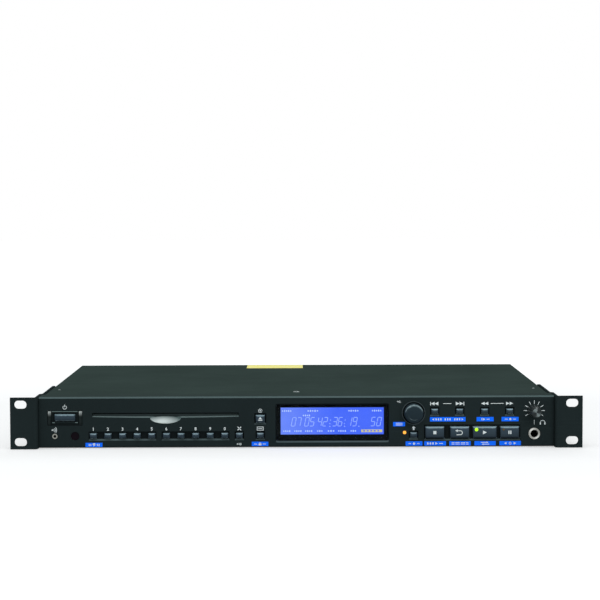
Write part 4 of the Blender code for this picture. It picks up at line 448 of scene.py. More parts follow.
class Print:
    """Flat shapes of one ink on an upright plane. Places and sizes are in millimetres."""

    def __init__(self, name: str, plane: float, thickness: float = 0.04 * MM) -> None:
        """Starts an empty print on the surface at a depth."""
        deselect_all()
        bpy.ops.mesh.primitive_circle_add(vertices=3, radius=MM)
        self.draft = Draft(name)
        self.draft.pick_all()
        bpy.ops.mesh.delete(type="VERT")
        self.plane = plane
        self.thickness = thickness
        self.lettering: list[tuple[str, float, float, float]] = []

    def polygon(self, corners: Profile) -> None:
        """Adds one shape by its corners, as (x, z)."""
        bpy.ops.mesh.select_all(action="DESELECT")
        bpy.ops.mesh.primitive_circle_add(vertices=len(corners), radius=MM, fill_type="NGON")
        mesh = bmesh.from_edit_mesh(self.draft.thing.data)
        face = next(face for face in mesh.faces if face.select)
        for vertex, (x, z) in zip(face.verts, corners):
            vertex.co = (x * MM, self.plane, z * MM)
        bmesh.update_edit_mesh(self.draft.thing.data)

    def bars(self, *shapes: Sequence[float]) -> None:
        """Adds several bars."""
        for shape in shapes:
            self.bar(*shape)

    def arrows(self, *shapes: Sequence[float]) -> None:
        """Adds several triangles that point sideways."""
        for shape in shapes:
            self.arrow(*shape)

    def bar(self, x: float, z: float, width: float, height: float, slant: float = 0.0) -> None:
        """Adds a bar; slant moves its upper end sideways."""
        w, h, s = width / 2, height / 2, slant / 2
        foot = [(x - w - s, z - h), (x + w - s, z - h)]
        self.polygon(foot + [(x + w + s, z + h), (x - w + s, z + h)])

    def arrow(self, x: float, z: float, width: float, height: float) -> None:
        """Adds a triangle that points right, or left when its width is negative."""
        w, h = width / 2, height / 2
        self.polygon([(x - w, z - h), (x + w, z), (x - w, z + h)])

    def peak(self, x: float, z: float, width: float, height: float) -> None:
        """Adds a triangle that points up."""
        w, h = width / 2, height / 2
        self.polygon([(x - w, z - h), (x + w, z - h), (x, z + h)])

    def dot(self, x: float, z: float, radius: float, sides: int = 16) -> None:
        """Adds a round dot."""
        self.polygon(round_points(x, z, radius, 0.0, 360.0, sides)[:-1])

    def arc(
        self, x: float, z: float, radius: float, width: float, start: float, end: float
    ) -> None:
        """Adds part of a ring, from one angle in degrees to another."""
        outer = round_points(x, z, radius, start, end, ARC_STEPS)
        inner = round_points(x, z, radius - width, start, end, ARC_STEPS)
        self.polygon(outer + inner[::-1])

    def frame(self, x: float, z: float, width: float, height: float, line: float) -> None:
        """Adds the outline of a box."""
        self.bar(x, z + (height - line) / 2, width, line)
        self.bar(x, z - (height - line) / 2, width, line)
        self.bar(x - (width - line) / 2, z, line, height - 2 * line)
        self.bar(x + (width - line) / 2, z, line, height - 2 * line)

    def text(self, body: str, x: float, z: float, height: float) -> None:
        """Adds plain digits about a middle."""
        self.lettering.append((body, x, z, height))

    def letters(self, body: str, x: float, z: float, height: float) -> Thing:
        """Sets digits in the built-in font and makes them a mesh in their place."""
        deselect_all()
        bpy.ops.object.text_add()
        text = bpy.context.object
        text.data.body = body
        text.data.extrude = 0.5
        text.data.offset = 0.025
        text.data.resolution_u = 3
        bpy.ops.object.convert(target="MESH")
        thing = bpy.context.object
        bpy.ops.object.mode_set(mode="EDIT")
        bpy.ops.mesh.select_all(action="SELECT")
        bpy.ops.mesh.remove_doubles(threshold=0.0001)
        bpy.ops.mesh.normals_make_consistent(inside=False)
        bpy.ops.object.mode_set(mode="OBJECT")
        corners = [vertex.co for vertex in thing.data.vertices]
        low = Vector([min(c[axis] for c in corners) for axis in range(3)])
        high = Vector([max(c[axis] for c in corners) for axis in range(3)])
        share = height * MM / (high.y - low.y)
        thing.data.transform(
            Matrix.Translation((x * MM, self.plane - self.thickness / 2, z * MM))
            @ Side.FRONT.matrix()
            @ Matrix.Diagonal((share, share, self.thickness, 1.0))
            @ Matrix.Translation(-(low + high) / 2)
        )
        return thing

    def done(self, finish: Material) -> Thing:
        """Raises the shapes by the ink's thickness and joins the digits to them."""
        name = self.draft.thing.name
        self.draft.pick_all().extrude((0.0, -self.thickness, 0.0))
        things = [self.draft.done(finish)]
        for words in self.lettering:
            thing = self.letters(*words)
            thing.data.materials.clear()
            thing.data.materials.append(finish)
            things.append(thing)
        return assembled(name, things)


# Finishes
class Graph:
    """Adds nodes to one node tree and links them."""

    def __init__(self, tree: Tree) -> None:
        """Takes the tree to work on."""
        self.tree = tree

    def feed(self, node: Node, inputs: dict) -> None:
        """Sets a node's inputs, by name or index, to values or links them to sockets."""
        for key, value in inputs.items():
            if isinstance(value, Socket):
                self.tree.links.new(value, node.inputs[key])
            else:
                node.inputs[key].default_value = value

    def node(self, kind: str, inputs: dict | None = None, **settings: object) -> Node:
        """Adds a node.

        Args:
            kind: The node's Blender type.
            inputs: Values or sockets for its inputs, by name or index.
            **settings: Its properties.

        Returns:
            The new node.
        """
        node = self.tree.nodes.new(kind)
        for key, value in settings.items():
            setattr(node, key, value)
        self.feed(node, inputs or {})
        return node

    def group(self, tree: Tree, inputs: dict) -> Node:
        """Places a shared group with its own values."""
        return self.node("ShaderNodeGroup", inputs, node_tree=tree)

    def math(self, operation: str, first: object, second: object = 0.0) -> Socket:
        """Adds a Math node and gives its output."""
        return self.node("ShaderNodeMath", {0: first, 1: second}, operation=operation).outputs[0]

    def times(self, first: object, second: object) -> Socket:
        """Multiplies two values."""
        return self.math("MULTIPLY", first, second)

    def length(self, runs: Sequence[Socket]) -> Socket:
        """Gives the length of a run from its two parts."""
        return self.math("SQRT", self.math("ADD", *(self.times(run, run) for run in runs)))

    def span(
        self, value: object, low: float, high: float, start: float = 0.0, end: float = 1.0
    ) -> Socket:
        """Maps a value from start..end to low..high, clamped."""
        inputs = {"Value": value, 1: start, 2: end, 3: low, 4: high}
        return self.node("ShaderNodeMapRange", inputs).outputs[0]

    def blend(self, factor: object, first: object, second: object) -> Socket:
        """Mixes two colours and gives the result."""
        sockets = {0: factor, 6: rgba(first), 7: rgba(second)}
        return self.node("ShaderNodeMix", sockets, data_type="RGBA").outputs[2]

    def place(self) -> Socket:
        """Gives the place on the piece, in metres."""
        return self.node("ShaderNodeTexCoord").outputs["Object"]

    def axes(self) -> Sequence[Socket]:
        """Gives the place's X, Y and Z."""
        return self.node("ShaderNodeSeparateXYZ", {0: self.place()}).outputs

    def noise(
        self, scale: object, detail: float, vector: Socket | None = None, roughness: float = 0.5
    ) -> Socket:
        """Gives noise over the piece, or over another vector."""
        inputs = {"Vector": vector or self.place(), "Scale": scale, "Detail": detail}
        return self.node("ShaderNodeTexNoise", inputs | {"Roughness": roughness}).outputs[0]

    def haze(self, size: float) -> Socket:
        """Gives slow changes from 0 to 1, this far apart."""
        return self.group(HAZE, {"Size": size}).outputs[0]

    def grain(self, size: float, height: float) -> Sequence[Socket]:
        """Gives fine grain as a value and a normal."""
        return self.group(GRAIN, {"Size": size, "Height": height}).outputs


def rgba(colour: object) -> object:
    """Adds an alpha to a plain colour, and leaves a socket as it is."""
    return (*colour, 1.0) if isinstance(colour, tuple) and len(colour) == 3 else colour


def scaled(colour: Colour, share: float) -> Colour:
    """Makes a colour lighter or darker."""
    return tuple(min(1.0, channel * share) for channel in colour)


def group_tree(
    name: str, inputs: dict[str, object], outputs: Sequence[str]
) -> tuple[Graph, Sequence[Socket]]:
    """Makes a shader group with named sockets.

    Args:
        name: The group's name.
        inputs: Its inputs with their usual values; a tuple makes a vector.
        outputs: Its outputs; the one that is called Normal is a vector.

    Returns:
        A graph on the group's tree, and the sockets that bring its inputs.
    """
    tree = bpy.data.node_groups.new(name, "ShaderNodeTree")
    for key, value in inputs.items():
        kind = "NodeSocketVector" if isinstance(value, tuple) else "NodeSocketFloat"
        socket = tree.interface.new_socket(key, in_out="INPUT", socket_type=kind)
        socket.default_value = value
    for key in outputs:
        kind = "NodeSocketVector" if key == "Normal" else "NodeSocketFloat"
        tree.interface.new_socket(key, in_out="OUTPUT", socket_type=kind)
    graph = Graph(tree)
    return graph, graph.node("NodeGroupInput").outputs


def bumpy(graph: Graph, noise: Socket, height: Socket) -> Tree:
    """Ends a group with its noise and the normal of bumps of that noise."""
    bump = graph.node("ShaderNodeBump", {"Distance": height, "Height": noise})
    graph.node("NodeGroupOutput", {"Value": noise, "Normal": bump.outputs[0]})
    return graph.tree


def grain_group() -> Tree:
    """Makes the fine bumps of powder coat or of a spark-eroded moulding."""
    usual = {"Size": 0.0005, "Height": 0.00002}
    graph, given = group_tree("fine_grain", usual, ("Value", "Normal"))
    noise = graph.noise(graph.math("DIVIDE", 1.0, given["Size"]), 2.0)
    return bumpy(graph, noise, given["Height"])


def haze_group() -> Tree:
    """Makes slow, cloudy changes of shade and gloss, as handling leaves them."""
    graph, given = group_tree("slow_haze", {"Size": 0.05}, ("Value",))
    noise = graph.noise(graph.math("DIVIDE", 1.0, given["Size"]), 5.0, roughness=0.6)
    graph.node("NodeGroupOutput", {"Value": graph.span(noise, 0.0, 1.0, 0.3, 0.7)})
    return graph.tree


def wear_and_highlight_group() -> Tree:
    """Makes patchy wear along the edges that a piece's own attribute marks, with a painted
    highlight where they face up.
    """
    graph, given = group_tree("edge_wear", {"Size": 0.002, "Amount": 0.5}, ("Mask",))
    noise = graph.noise(graph.math("DIVIDE", 1.0, given["Size"]), 3.0)
    edge = graph.node("ShaderNodeAttribute", attribute_name="edge").outputs["Fac"]
    patchy = graph.span(graph.times(edge, noise), 0.0, 1.0, 0.12, 0.5)
    graph.node("NodeGroupOutput", {"Mask": graph.times(patchy, given["Amount"])})
    return graph.tree


def brush_group() -> Tree:
    """Makes drawn or turned lines: noise that is stretched by a vector."""
    usual = {"Lines": (40.0, 3000.0, 3000.0), "Height": 0.000004}
    graph, given = group_tree("brushed_lines", usual, ("Value", "Normal"))
    along = {0: graph.place(), 1: given["Lines"]}
    vector = graph.node("ShaderNodeVectorMath", along, operation="MULTIPLY").outputs[0]
    return bumpy(graph, graph.noise(1.0, 3.0, vector), given["Height"])


def scratch_group() -> Tree:
    """Makes faint hair scratches in two directions, in patches where hands and cloths pass."""
    graph, given = group_tree("hair_scratches", {"Amount": 0.3}, ("Mask",))
    lines = []
    for turn, shift in ((0.35, 0.0), (-0.9, 3.0)):
        inputs = {
            0: graph.place(), 1: (shift, 0.0, 0.0), 2: (0.3, turn * 0.5, turn),
            3: (9.0, 1100.0, 700.0),
        }
        turned = graph.node("ShaderNodeMapping", inputs).outputs[0]
        lines.append(graph.span(graph.noise(1.0, 1.0, turned), 0.0, 1.0, 0.66, 0.72))
    patch = graph.span(graph.noise(14.0, 2.0), 0.0, 1.0, 0.45, 0.65)
    both = graph.times(graph.math("MAXIMUM", *lines), patch)
    graph.node("NodeGroupOutput", {"Mask": graph.times(both, given["Amount"])})
    return graph.tree


GRAIN, HAZE, WEAR_AND_HIGHLIGHT, BRUSH = grain_group(), haze_group(), wear_and_highlight_group(), brush_group()
SCRATCH = scratch_group()


def new_material(name: str) -> tuple[Material, Graph, Node]:
    """Makes a material and gives it with its graph and its Principled shader."""
    material = bpy.data.materials.new(name)
    material.use_nodes = True
    shader = material.node_tree.nodes["Principled BSDF"]
    return material, Graph(material.node_tree), shader


class Finish:
    """A look that the kinds of finish below describe, each in its own way."""

    name: str

    def look(self, graph: Graph) -> dict:
        """Gives the shader's inputs."""
        raise NotImplementedError

    def made(self) -> Material:
        """Builds the material."""
        material, graph, shader = new_material(self.name)
        graph.feed(shader, self.look(graph))
        return material


@dataclass(frozen=True)
class Coating(Finish):
    """Paint, powder coat, ink or a moulded surface.

    Rise is how far up the painted shade at a cap's foot reaches, crest how bright the painted
    highlight along its top is. The wear colour also serves as that painted highlight.
    """

    name: str
    colour: Colour
    roughness: float = 0.5
    grain: float = 0.0004
    height: float = 0.000012
    change: float = 0.10
    wear: float = 0.0
    worn_and_highlight: Colour = (0.12, 0.15, 0.15)
    gloss: float = 0.5
    glow: float = 0.0
    rise: float = 0.0
    crest_highlight: float = 0.0
    scratch: float = 0.15

    def paint_cap_light(self, graph: Graph, shade: Socket) -> Socket:
        """Paints shade at the foot of a cap and a highlight along its top."""
        height = graph.node("ShaderNodeAttribute", attribute_name="rise").outputs["Fac"]
        # Painted shade, deepening towards the foot of the cap.
        shade = graph.blend(graph.span(height, self.rise, 0.0), shade, scaled(self.colour, 0.4))
        foot = graph.span(height, self.crest_highlight, 0.0, 0.04, 0.2)
        shade = graph.blend(foot, shade, scaled(self.colour, 0.08))
        # Painted highlight along the top of the cap's front.
        return graph.blend(graph.span(height, 0.0, self.crest_highlight, 0.84, 0.94), shade, self.worn_and_highlight)

    def look(self, graph: Graph) -> dict:
        """Gives the shader's inputs."""
        haze = graph.haze(0.06)
        grain = graph.grain(self.grain, self.height)
        light, dark = scaled(self.colour, 1.0 + self.change), scaled(self.colour, 1.0 - self.change)
        shade = graph.blend(haze, dark, light)
        fleck = graph.span(grain["Value"], 0.0, 0.22, 0.45, 0.75)
        shade = graph.blend(fleck, shade, scaled(self.colour, 1.5))
        if self.rise > 0.0:
            shade = self.paint_cap_light(graph, shade)
        hairs = graph.group(SCRATCH, {"Amount": self.scratch}).outputs[0]
        shade = graph.blend(hairs, shade, scaled(self.colour, 2.4))
        # Patchy wear along edges, brightest on edges that face up as a painted highlight.
        mask = graph.group(WEAR_AND_HIGHLIGHT, {"Size": 0.003, "Amount": self.wear}).outputs[0]
        shade = graph.blend(mask, shade, self.worn_and_highlight)
        lit = {"Emission Color": shade, "Emission Strength": self.glow} if self.glow else {}
        return lit | {
            "Base Color": shade,
            "Roughness": graph.span(haze, self.roughness - 0.05, self.roughness + 0.05),
            "Normal": grain["Normal"],
            "Specular IOR Level": self.gloss,
        }


@dataclass(frozen=True)
class Metal(Finish):
    """Bare, plated or brushed metal."""

    name: str
    colour: Colour
    roughness: float = 0.3
    lines: Point = (600.0, 600.0, 600.0)
    height: float = 0.000002
    stain: float = 0.15

    def look(self, graph: Graph) -> dict:
        """Gives the shader's inputs."""
        brush = graph.group(BRUSH, {"Lines": self.lines, "Height": self.height}).outputs
        shade = graph.blend(graph.haze(0.03), scaled(self.colour, 1.0 - self.stain), self.colour)
        dull = graph.span(brush["Value"], 0.0, 0.25, 0.3, 0.7)
        rough, rougher = self.roughness - 0.06, self.roughness + 0.1
        return {
            "Base Color": graph.blend(dull, shade, scaled(self.colour, 0.8)),
            "Roughness": graph.span(brush["Value"], rough, rougher, 0.3, 0.7),
            "Normal": brush["Normal"],
            "Metallic": 1.0,
        }


@dataclass(frozen=True)
class Fade(Finish):
    """A moulded hollow with a painted highlight that grows towards its upper end."""

    name: str
    low_colour: Colour
    highlight_colour: Colour
    low: float
    high: float
    roughness: float = 0.35

    def look(self, graph: Graph) -> dict:
        """Gives the shader's inputs."""
        share = graph.span(graph.axes()[2], 0.0, 1.0, self.low, self.high)
        share = graph.times(graph.times(share, share), graph.span(graph.haze(0.004), 0.85, 1.0))
        return {
            "Base Color": graph.blend(share, self.low_colour, self.highlight_colour),
            "Roughness": graph.span(share, self.roughness + 0.1, self.roughness),
            "Normal": graph.grain(0.0003, 0.000004)["Normal"],
            "Specular IOR Level": SATIN_GLOSS,
        }


@dataclass(frozen=True)
class Sheen(Finish):
    """Satin paint in a hollow with a painted sheen: bright about a spot, dull towards its rim."""

    name: str
    dull: Colour
    bright: Colour
    spot: tuple[float, float]
    reach: tuple[float, float]

    def look(self, graph: Graph) -> dict:
        """Gives the shader's inputs."""
        axes = graph.axes()
        runs = [
            graph.math("DIVIDE", graph.math("SUBTRACT", axes[axis], spot), reach)
            for axis, spot, reach in zip((0, 2), self.spot, self.reach)
        ]
        grain = graph.grain(0.0003, 0.000004)
        # Painted sheen, brightest at the spot and fading towards the rim.
        share = graph.span(graph.length(runs), 1.0, 0.0, 0.15, 1.0)
        share = graph.times(share, graph.span(grain["Value"], 0.9, 1.0))
        return {
            "Base Color": graph.blend(share, self.dull, self.bright),
            "Roughness": graph.span(share, 0.45, 0.3),
            "Normal": grain["Normal"],
            "Specular IOR Level": SATIN_GLOSS,
        }


@dataclass(frozen=True)
class Spun(Finish):
    """A turned metal face: fine rings, and two fans of painted highlight, set by their angle about
    its middle.
    """

    name: str
    colour: Colour
    fan_highlight: Colour
    middle: tuple[float, float]
    turn: float = math.radians(125)

    def look(self, graph: Graph) -> dict:
        """Gives the shader's inputs."""
        axes = graph.axes()
        across = graph.math("SUBTRACT", axes[0], self.middle[0])
        up = graph.math("SUBTRACT", axes[2], self.middle[1])
        angle = graph.math("SUBTRACT", graph.math("ARCTAN2", up, across), self.turn)
        # Painted highlight: two fans of light across the face.
        fan = graph.math("POWER", graph.math("ABSOLUTE", graph.math("COSINE", angle)), 5.0)
        rings = graph.math("SINE", graph.times(graph.length((across, up)), 18000.0))
        fan = graph.times(fan, graph.span(rings, 0.8, 1.0, -1.0, 1.0))
        bump = graph.node("ShaderNodeBump", {"Distance": 0.000004, "Height": rings})
        return {
            "Base Color": graph.blend(fan, self.colour, self.fan_highlight),
            "Roughness": graph.span(rings, 0.3, 0.4, -1.0, 1.0),
            "Normal": bump.outputs[0],
            "Specular IOR Level": 0.1,
        }


@dataclass(frozen=True)
class CircuitBoard(Finish):
    """Solder mask over copper tracks."""

    name: str = "board_mask"
    colour: Colour = (0.012, 0.075, 0.032)
    track: Colour = (0.022, 0.14, 0.055)

    def look(self, graph: Graph) -> dict:
        """Gives the shader's inputs."""
        inputs = {"Vector": graph.place(), "Scale": 260.0}
        cells = graph.node("ShaderNodeTexVoronoi", inputs, distance="MANHATTAN")
        lines = graph.span(cells.outputs["Distance"], 1.0, 0.0, 0.28, 0.34)
        return {
            "Base Color": graph.blend(lines, self.colour, self.track),
            "Roughness": graph.span(lines, 0.42, 0.3),
            "Normal": graph.grain(0.0006, 0.000006)["Normal"],
        }


@dataclass(frozen=True)
class Backlight(Finish):
    """The lit face of the display: paler towards its left end."""

    name: str = "display_backlight"
    pale: Colour = (0.13, 0.24, 1.0)
    deep: Colour = (0.038, 0.125, 1.0)
    left: float = -13.3 * MM
    width: float = 87.2 * MM
    strength: float = 1.0

    def look(self, graph: Graph) -> dict:
        """Gives the shader's inputs."""
        share = graph.span(graph.axes()[0], 1.0, 0.0, self.left, self.left + self.width * 0.55)
        share = graph.math("ADD", share, graph.span(graph.haze(0.02), -0.06, 0.06))
        return {
            "Emission Color": graph.blend(share, self.deep, self.pale),
            "Emission Strength": self.strength,
            "Base Color": (0.01, 0.02, 0.08, 1.0),
            "Roughness": 0.35,
        }


@dataclass(frozen=True)
class Lens(Finish):
    """The coloured plastic of a lamp, lit from behind."""

    name: str
    colour: Colour
    glow: float
    roughness: float = 0.2
    gloss: float = 0.04

    def look(self, graph: Graph) -> dict:
        """Gives the shader's inputs."""
        haze = graph.haze(0.01)
        shade = graph.blend(haze, scaled(self.colour, 0.92), self.colour)
        return {
            "Base Color": shade,
            "Roughness": graph.span(haze, self.roughness, self.roughness + 0.04),
            "Specular IOR Level": self.gloss,
            "IOR": 1.08,
            "Emission Color": shade,
            "Emission Strength": self.glow,
        }


@dataclass(frozen=True)
class Pane(Finish):
    """The thin smoke-tinted window, a little less clear where it was wiped."""

    name: str = "window_acrylic"
    colour: Colour = (0.010, 0.014, 0.018)
    clear: float = 0.05
    wiped: float = 0.065

    def look(self, graph: Graph) -> dict:
        """Gives the shader's inputs."""
        haze = graph.haze(0.012)
        return {
            "Base Color": graph.blend(haze, self.colour, scaled(self.colour, 1.6)),
            "Alpha": graph.span(haze, self.clear, self.wiped),
            "Roughness": graph.span(haze, 0.04, 0.10),
            "Specular IOR Level": 0.03,
        }


class Finishes:
    """All finishes of the player, each made once."""

    def __init__(self) -> None:
        """Makes the materials."""
        self.panel = Coating(
            "panel_moulding", (0.0150, 0.0235, 0.0245), 0.5, wear=0.5,
            worn_and_highlight=(0.06, 0.09, 0.09), gloss=0.03,
        ).made()
        # Painted highlight: the panel's top chamfer, lighter than its face.
        self.chamfer_highlight = Coating(
            "panel_edge_moulding", (0.085, 0.125, 0.126), 0.42, gloss=0.02,
        ).made()
        # Painted highlight on the panel's ledges that face up.
        self.lit_ledge = Coating(
            "panel_ledge_moulding", (0.075, 0.106, 0.110), 0.45, gloss=0.02, change=0.25,
        ).made()
        # Painted highlight in the troughs beside the power button, fading downwards.
        self.trough_highlight = Fade(
            "power_trough_moulding", (0.016, 0.024, 0.024), (0.90, 0.98, 0.96), 26.2 * MM,
            30.8 * MM,
        ).made()
        # Painted shade in the panel's recesses and under the power button.
        self.shade = Coating("sunk_moulding", (0.0085, 0.0122, 0.0130), 0.5, gloss=0.01).made()
        # Painted highlight: the panel's top face lighter than its front.
        self.panel_top_highlight = Coating(
            "panel_top_moulding", (0.036, 0.052, 0.049), 0.6, grain=0.0006, height=0.00002,
            gloss=0.0,
        ).made()
        # Painted highlight on the ring about the jog dial.
        self.collar = Coating(
            "collar_moulding", (0.06, 0.08, 0.085), 0.4, gloss=0.02, change=0.3
        ).made()
        # Painted sheen in the finger scoop.
        self.scoop = Sheen(
            "scoop_satin_paint", (0.15, 0.21, 0.21), (0.90, 0.98, 0.96),
            mm(-113.2, 22.9), mm(15.0, 4.6),
        ).made()
        # Painted highlight on the slot lip's slope, the power well's raised edge and its sill's
        # ends.
        self.lip = Coating(
            "slot_lip_moulding", (0.13, 0.18, 0.18), 0.4, grain=0.0002, height=0.000004, gloss=0.02
        ).made()
        self.ear = Coating(
            "ear_powder_coat", (0.0185, 0.0275, 0.0285), 0.55, grain=0.0007, height=0.00003,
            wear=0.5, worn_and_highlight=(0.05, 0.07, 0.07), gloss=0.0,
        ).made()
        self.cover = Coating(
            "cover_powder_coat", (0.037, 0.055, 0.050), 0.6, grain=0.0009, height=0.00004,
            wear=0.5, worn_and_highlight=(0.10, 0.13, 0.12), gloss=0.0,
        ).made()
        self.rear = Coating(
            "rear_powder_coat", (0.024, 0.033, 0.031), 0.6, grain=0.0008, height=0.00003,
            wear=0.5, worn_and_highlight=(0.10, 0.13, 0.12), gloss=0.05,
        ).made()
        # Key colour with painted shade towards the foot and painted highlights along the top and on
        # up-facing edges.
        self.key = Coating(
            "key_moulding", (0.052, 0.080, 0.105), 0.42, grain=0.0003, height=0.000006,
            wear=1.0, worn_and_highlight=(0.30, 0.42, 0.47), gloss=0.03, rise=0.75, crest_highlight=0.6,
        ).made()
        # Dial colour with painted shade towards the bottom and a painted highlight on up-facing
        # edges.
        self.dial = Coating(
            "dial_soft_moulding", (0.024, 0.040, 0.050), 0.42, grain=0.0003, height=0.000008,
            wear=1.0, worn_and_highlight=(0.26, 0.35, 0.37), gloss=0.02, rise=0.5,
        ).made()
        self.knob = Coating(
            "knob_moulding", (0.02, 0.026, 0.027), 0.35, grain=0.0003, gloss=0.1
        ).made()
        self.socket = Coating("socket_moulding", (0.009, 0.009, 0.009), 0.45, gloss=0.1).made()
        self.loader = Coating(
            "loader_moulding", (0.025, 0.025, 0.026), 0.6, grain=0.0006, height=0.00003
        ).made()
        self.rubber = Coating(
            "roller_rubber", (0.02, 0.02, 0.02), 0.85, grain=0.0006, height=0.00004, gloss=0.3
        ).made()
        # Black felt, kept darker than the lower felt as painted shade.
        self.felt = Coating(
            "slot_felt", (0.004, 0.006, 0.006), 0.95, grain=0.0003, height=0.0001, gloss=0.02
        ).made()
        # The same felt painted lighter, as lit from above.
        self.lit_felt = Coating(
            "slot_pale_felt", (0.045, 0.062, 0.063), 0.95, grain=0.0003, height=0.0001, gloss=0.0
        ).made()
        self.white = Coating(
            "white_print", (0.80, 0.88, 0.88), 0.55, grain=0.0002, height=0.000004, change=0.04,
            gloss=0.1,
        ).made()
        # Blue print with a faint glow: painted light.
        self.blue = Coating(
            "blue_print", (0.006, 0.14, 0.95), 0.5, grain=0.0002, height=0.000004, change=0.05,
            gloss=0.05, glow=0.25,
        ).made()
        self.pale = Coating(
            "display_pale_ink", (0.26, 0.36, 1.0), 0.5, change=0.04, gloss=0.0, glow=0.85
        ).made()
        self.mark_ink = Coating(
            "display_mark_ink", (0.42, 0.55, 0.95), 0.5, change=0.04, gloss=0.0, glow=0.6
        ).made()
        self.amber = Coating(
            "display_yellow_ink", (0.60, 0.54, 0.20), 0.5, change=0.04, gloss=0.0, glow=0.6
        ).made()
        self.yellow = Coating(
            "yellow_film", (0.75, 0.68, 0.02), 0.4, grain=0.0004, height=0.000004, change=0.04
        ).made()
        self.ring_white = Coating("ring_white", (0.70, 0.70, 0.68), 0.4, change=0.04).made()
        self.ring_red = Coating("ring_red", (0.50, 0.02, 0.015), 0.4, change=0.06).made()
        self.ring_orange = Coating("ring_orange", (0.75, 0.22, 0.02), 0.4, change=0.06).made()
        self.infrared = Coating(
            "infrared_window", (0.0085, 0.0055, 0.0085), 0.15, height=0.000001, gloss=0.02
        ).made()
        self.lamp_green = Lens("lamp_green", (0.42, 0.90, 0.02), 1.0).made()
        self.lamp_orange = Lens("lamp_orange", (1.0, 0.42, 0.06), 0.85).made()
        self.lamp_dim = Lens("lamp_dim", (0.16, 0.10, 0.03), 0.05).made()
        self.bezel = Coating(
            "bezel_gloss_print", (0.0060, 0.0080, 0.0085), 0.18, height=0.000002, gloss=0.03
        ).made()
        knob = PLACES.middle("phones_knob")
        # Painted highlight fans on the knob's face.
        self.spun = Spun(
            "spun_knob_cap", (0.022, 0.028, 0.030), (0.24, 0.29, 0.29), (knob.x, knob.z)
        ).made()
        # Painted highlight fans on the headphone socket's ring.
        self.socket_ring = Spun(
            "spun_socket_ring", (0.46, 0.46, 0.42), (1.0, 1.0, 0.94), PHONES_SOCKET
        ).made()
        self.steel = Metal("zinc_plated_steel", (0.55, 0.56, 0.56), 0.35).made()
        self.nickel = Metal("bright_nickel", (0.66, 0.65, 0.57), 0.18).made()
        self.dull_nickel = Metal("dull_nickel", (0.30, 0.31, 0.28), 0.3).made()
        self.gold = Metal("gold_flash", (0.83, 0.60, 0.25), 0.22).made()
        self.screw = Metal("dark_screw", (0.155, 0.19, 0.19), 0.4).made()
        self.board = CircuitBoard().made()
        self.backlight = Backlight().made()
        self.pane = Pane().made()


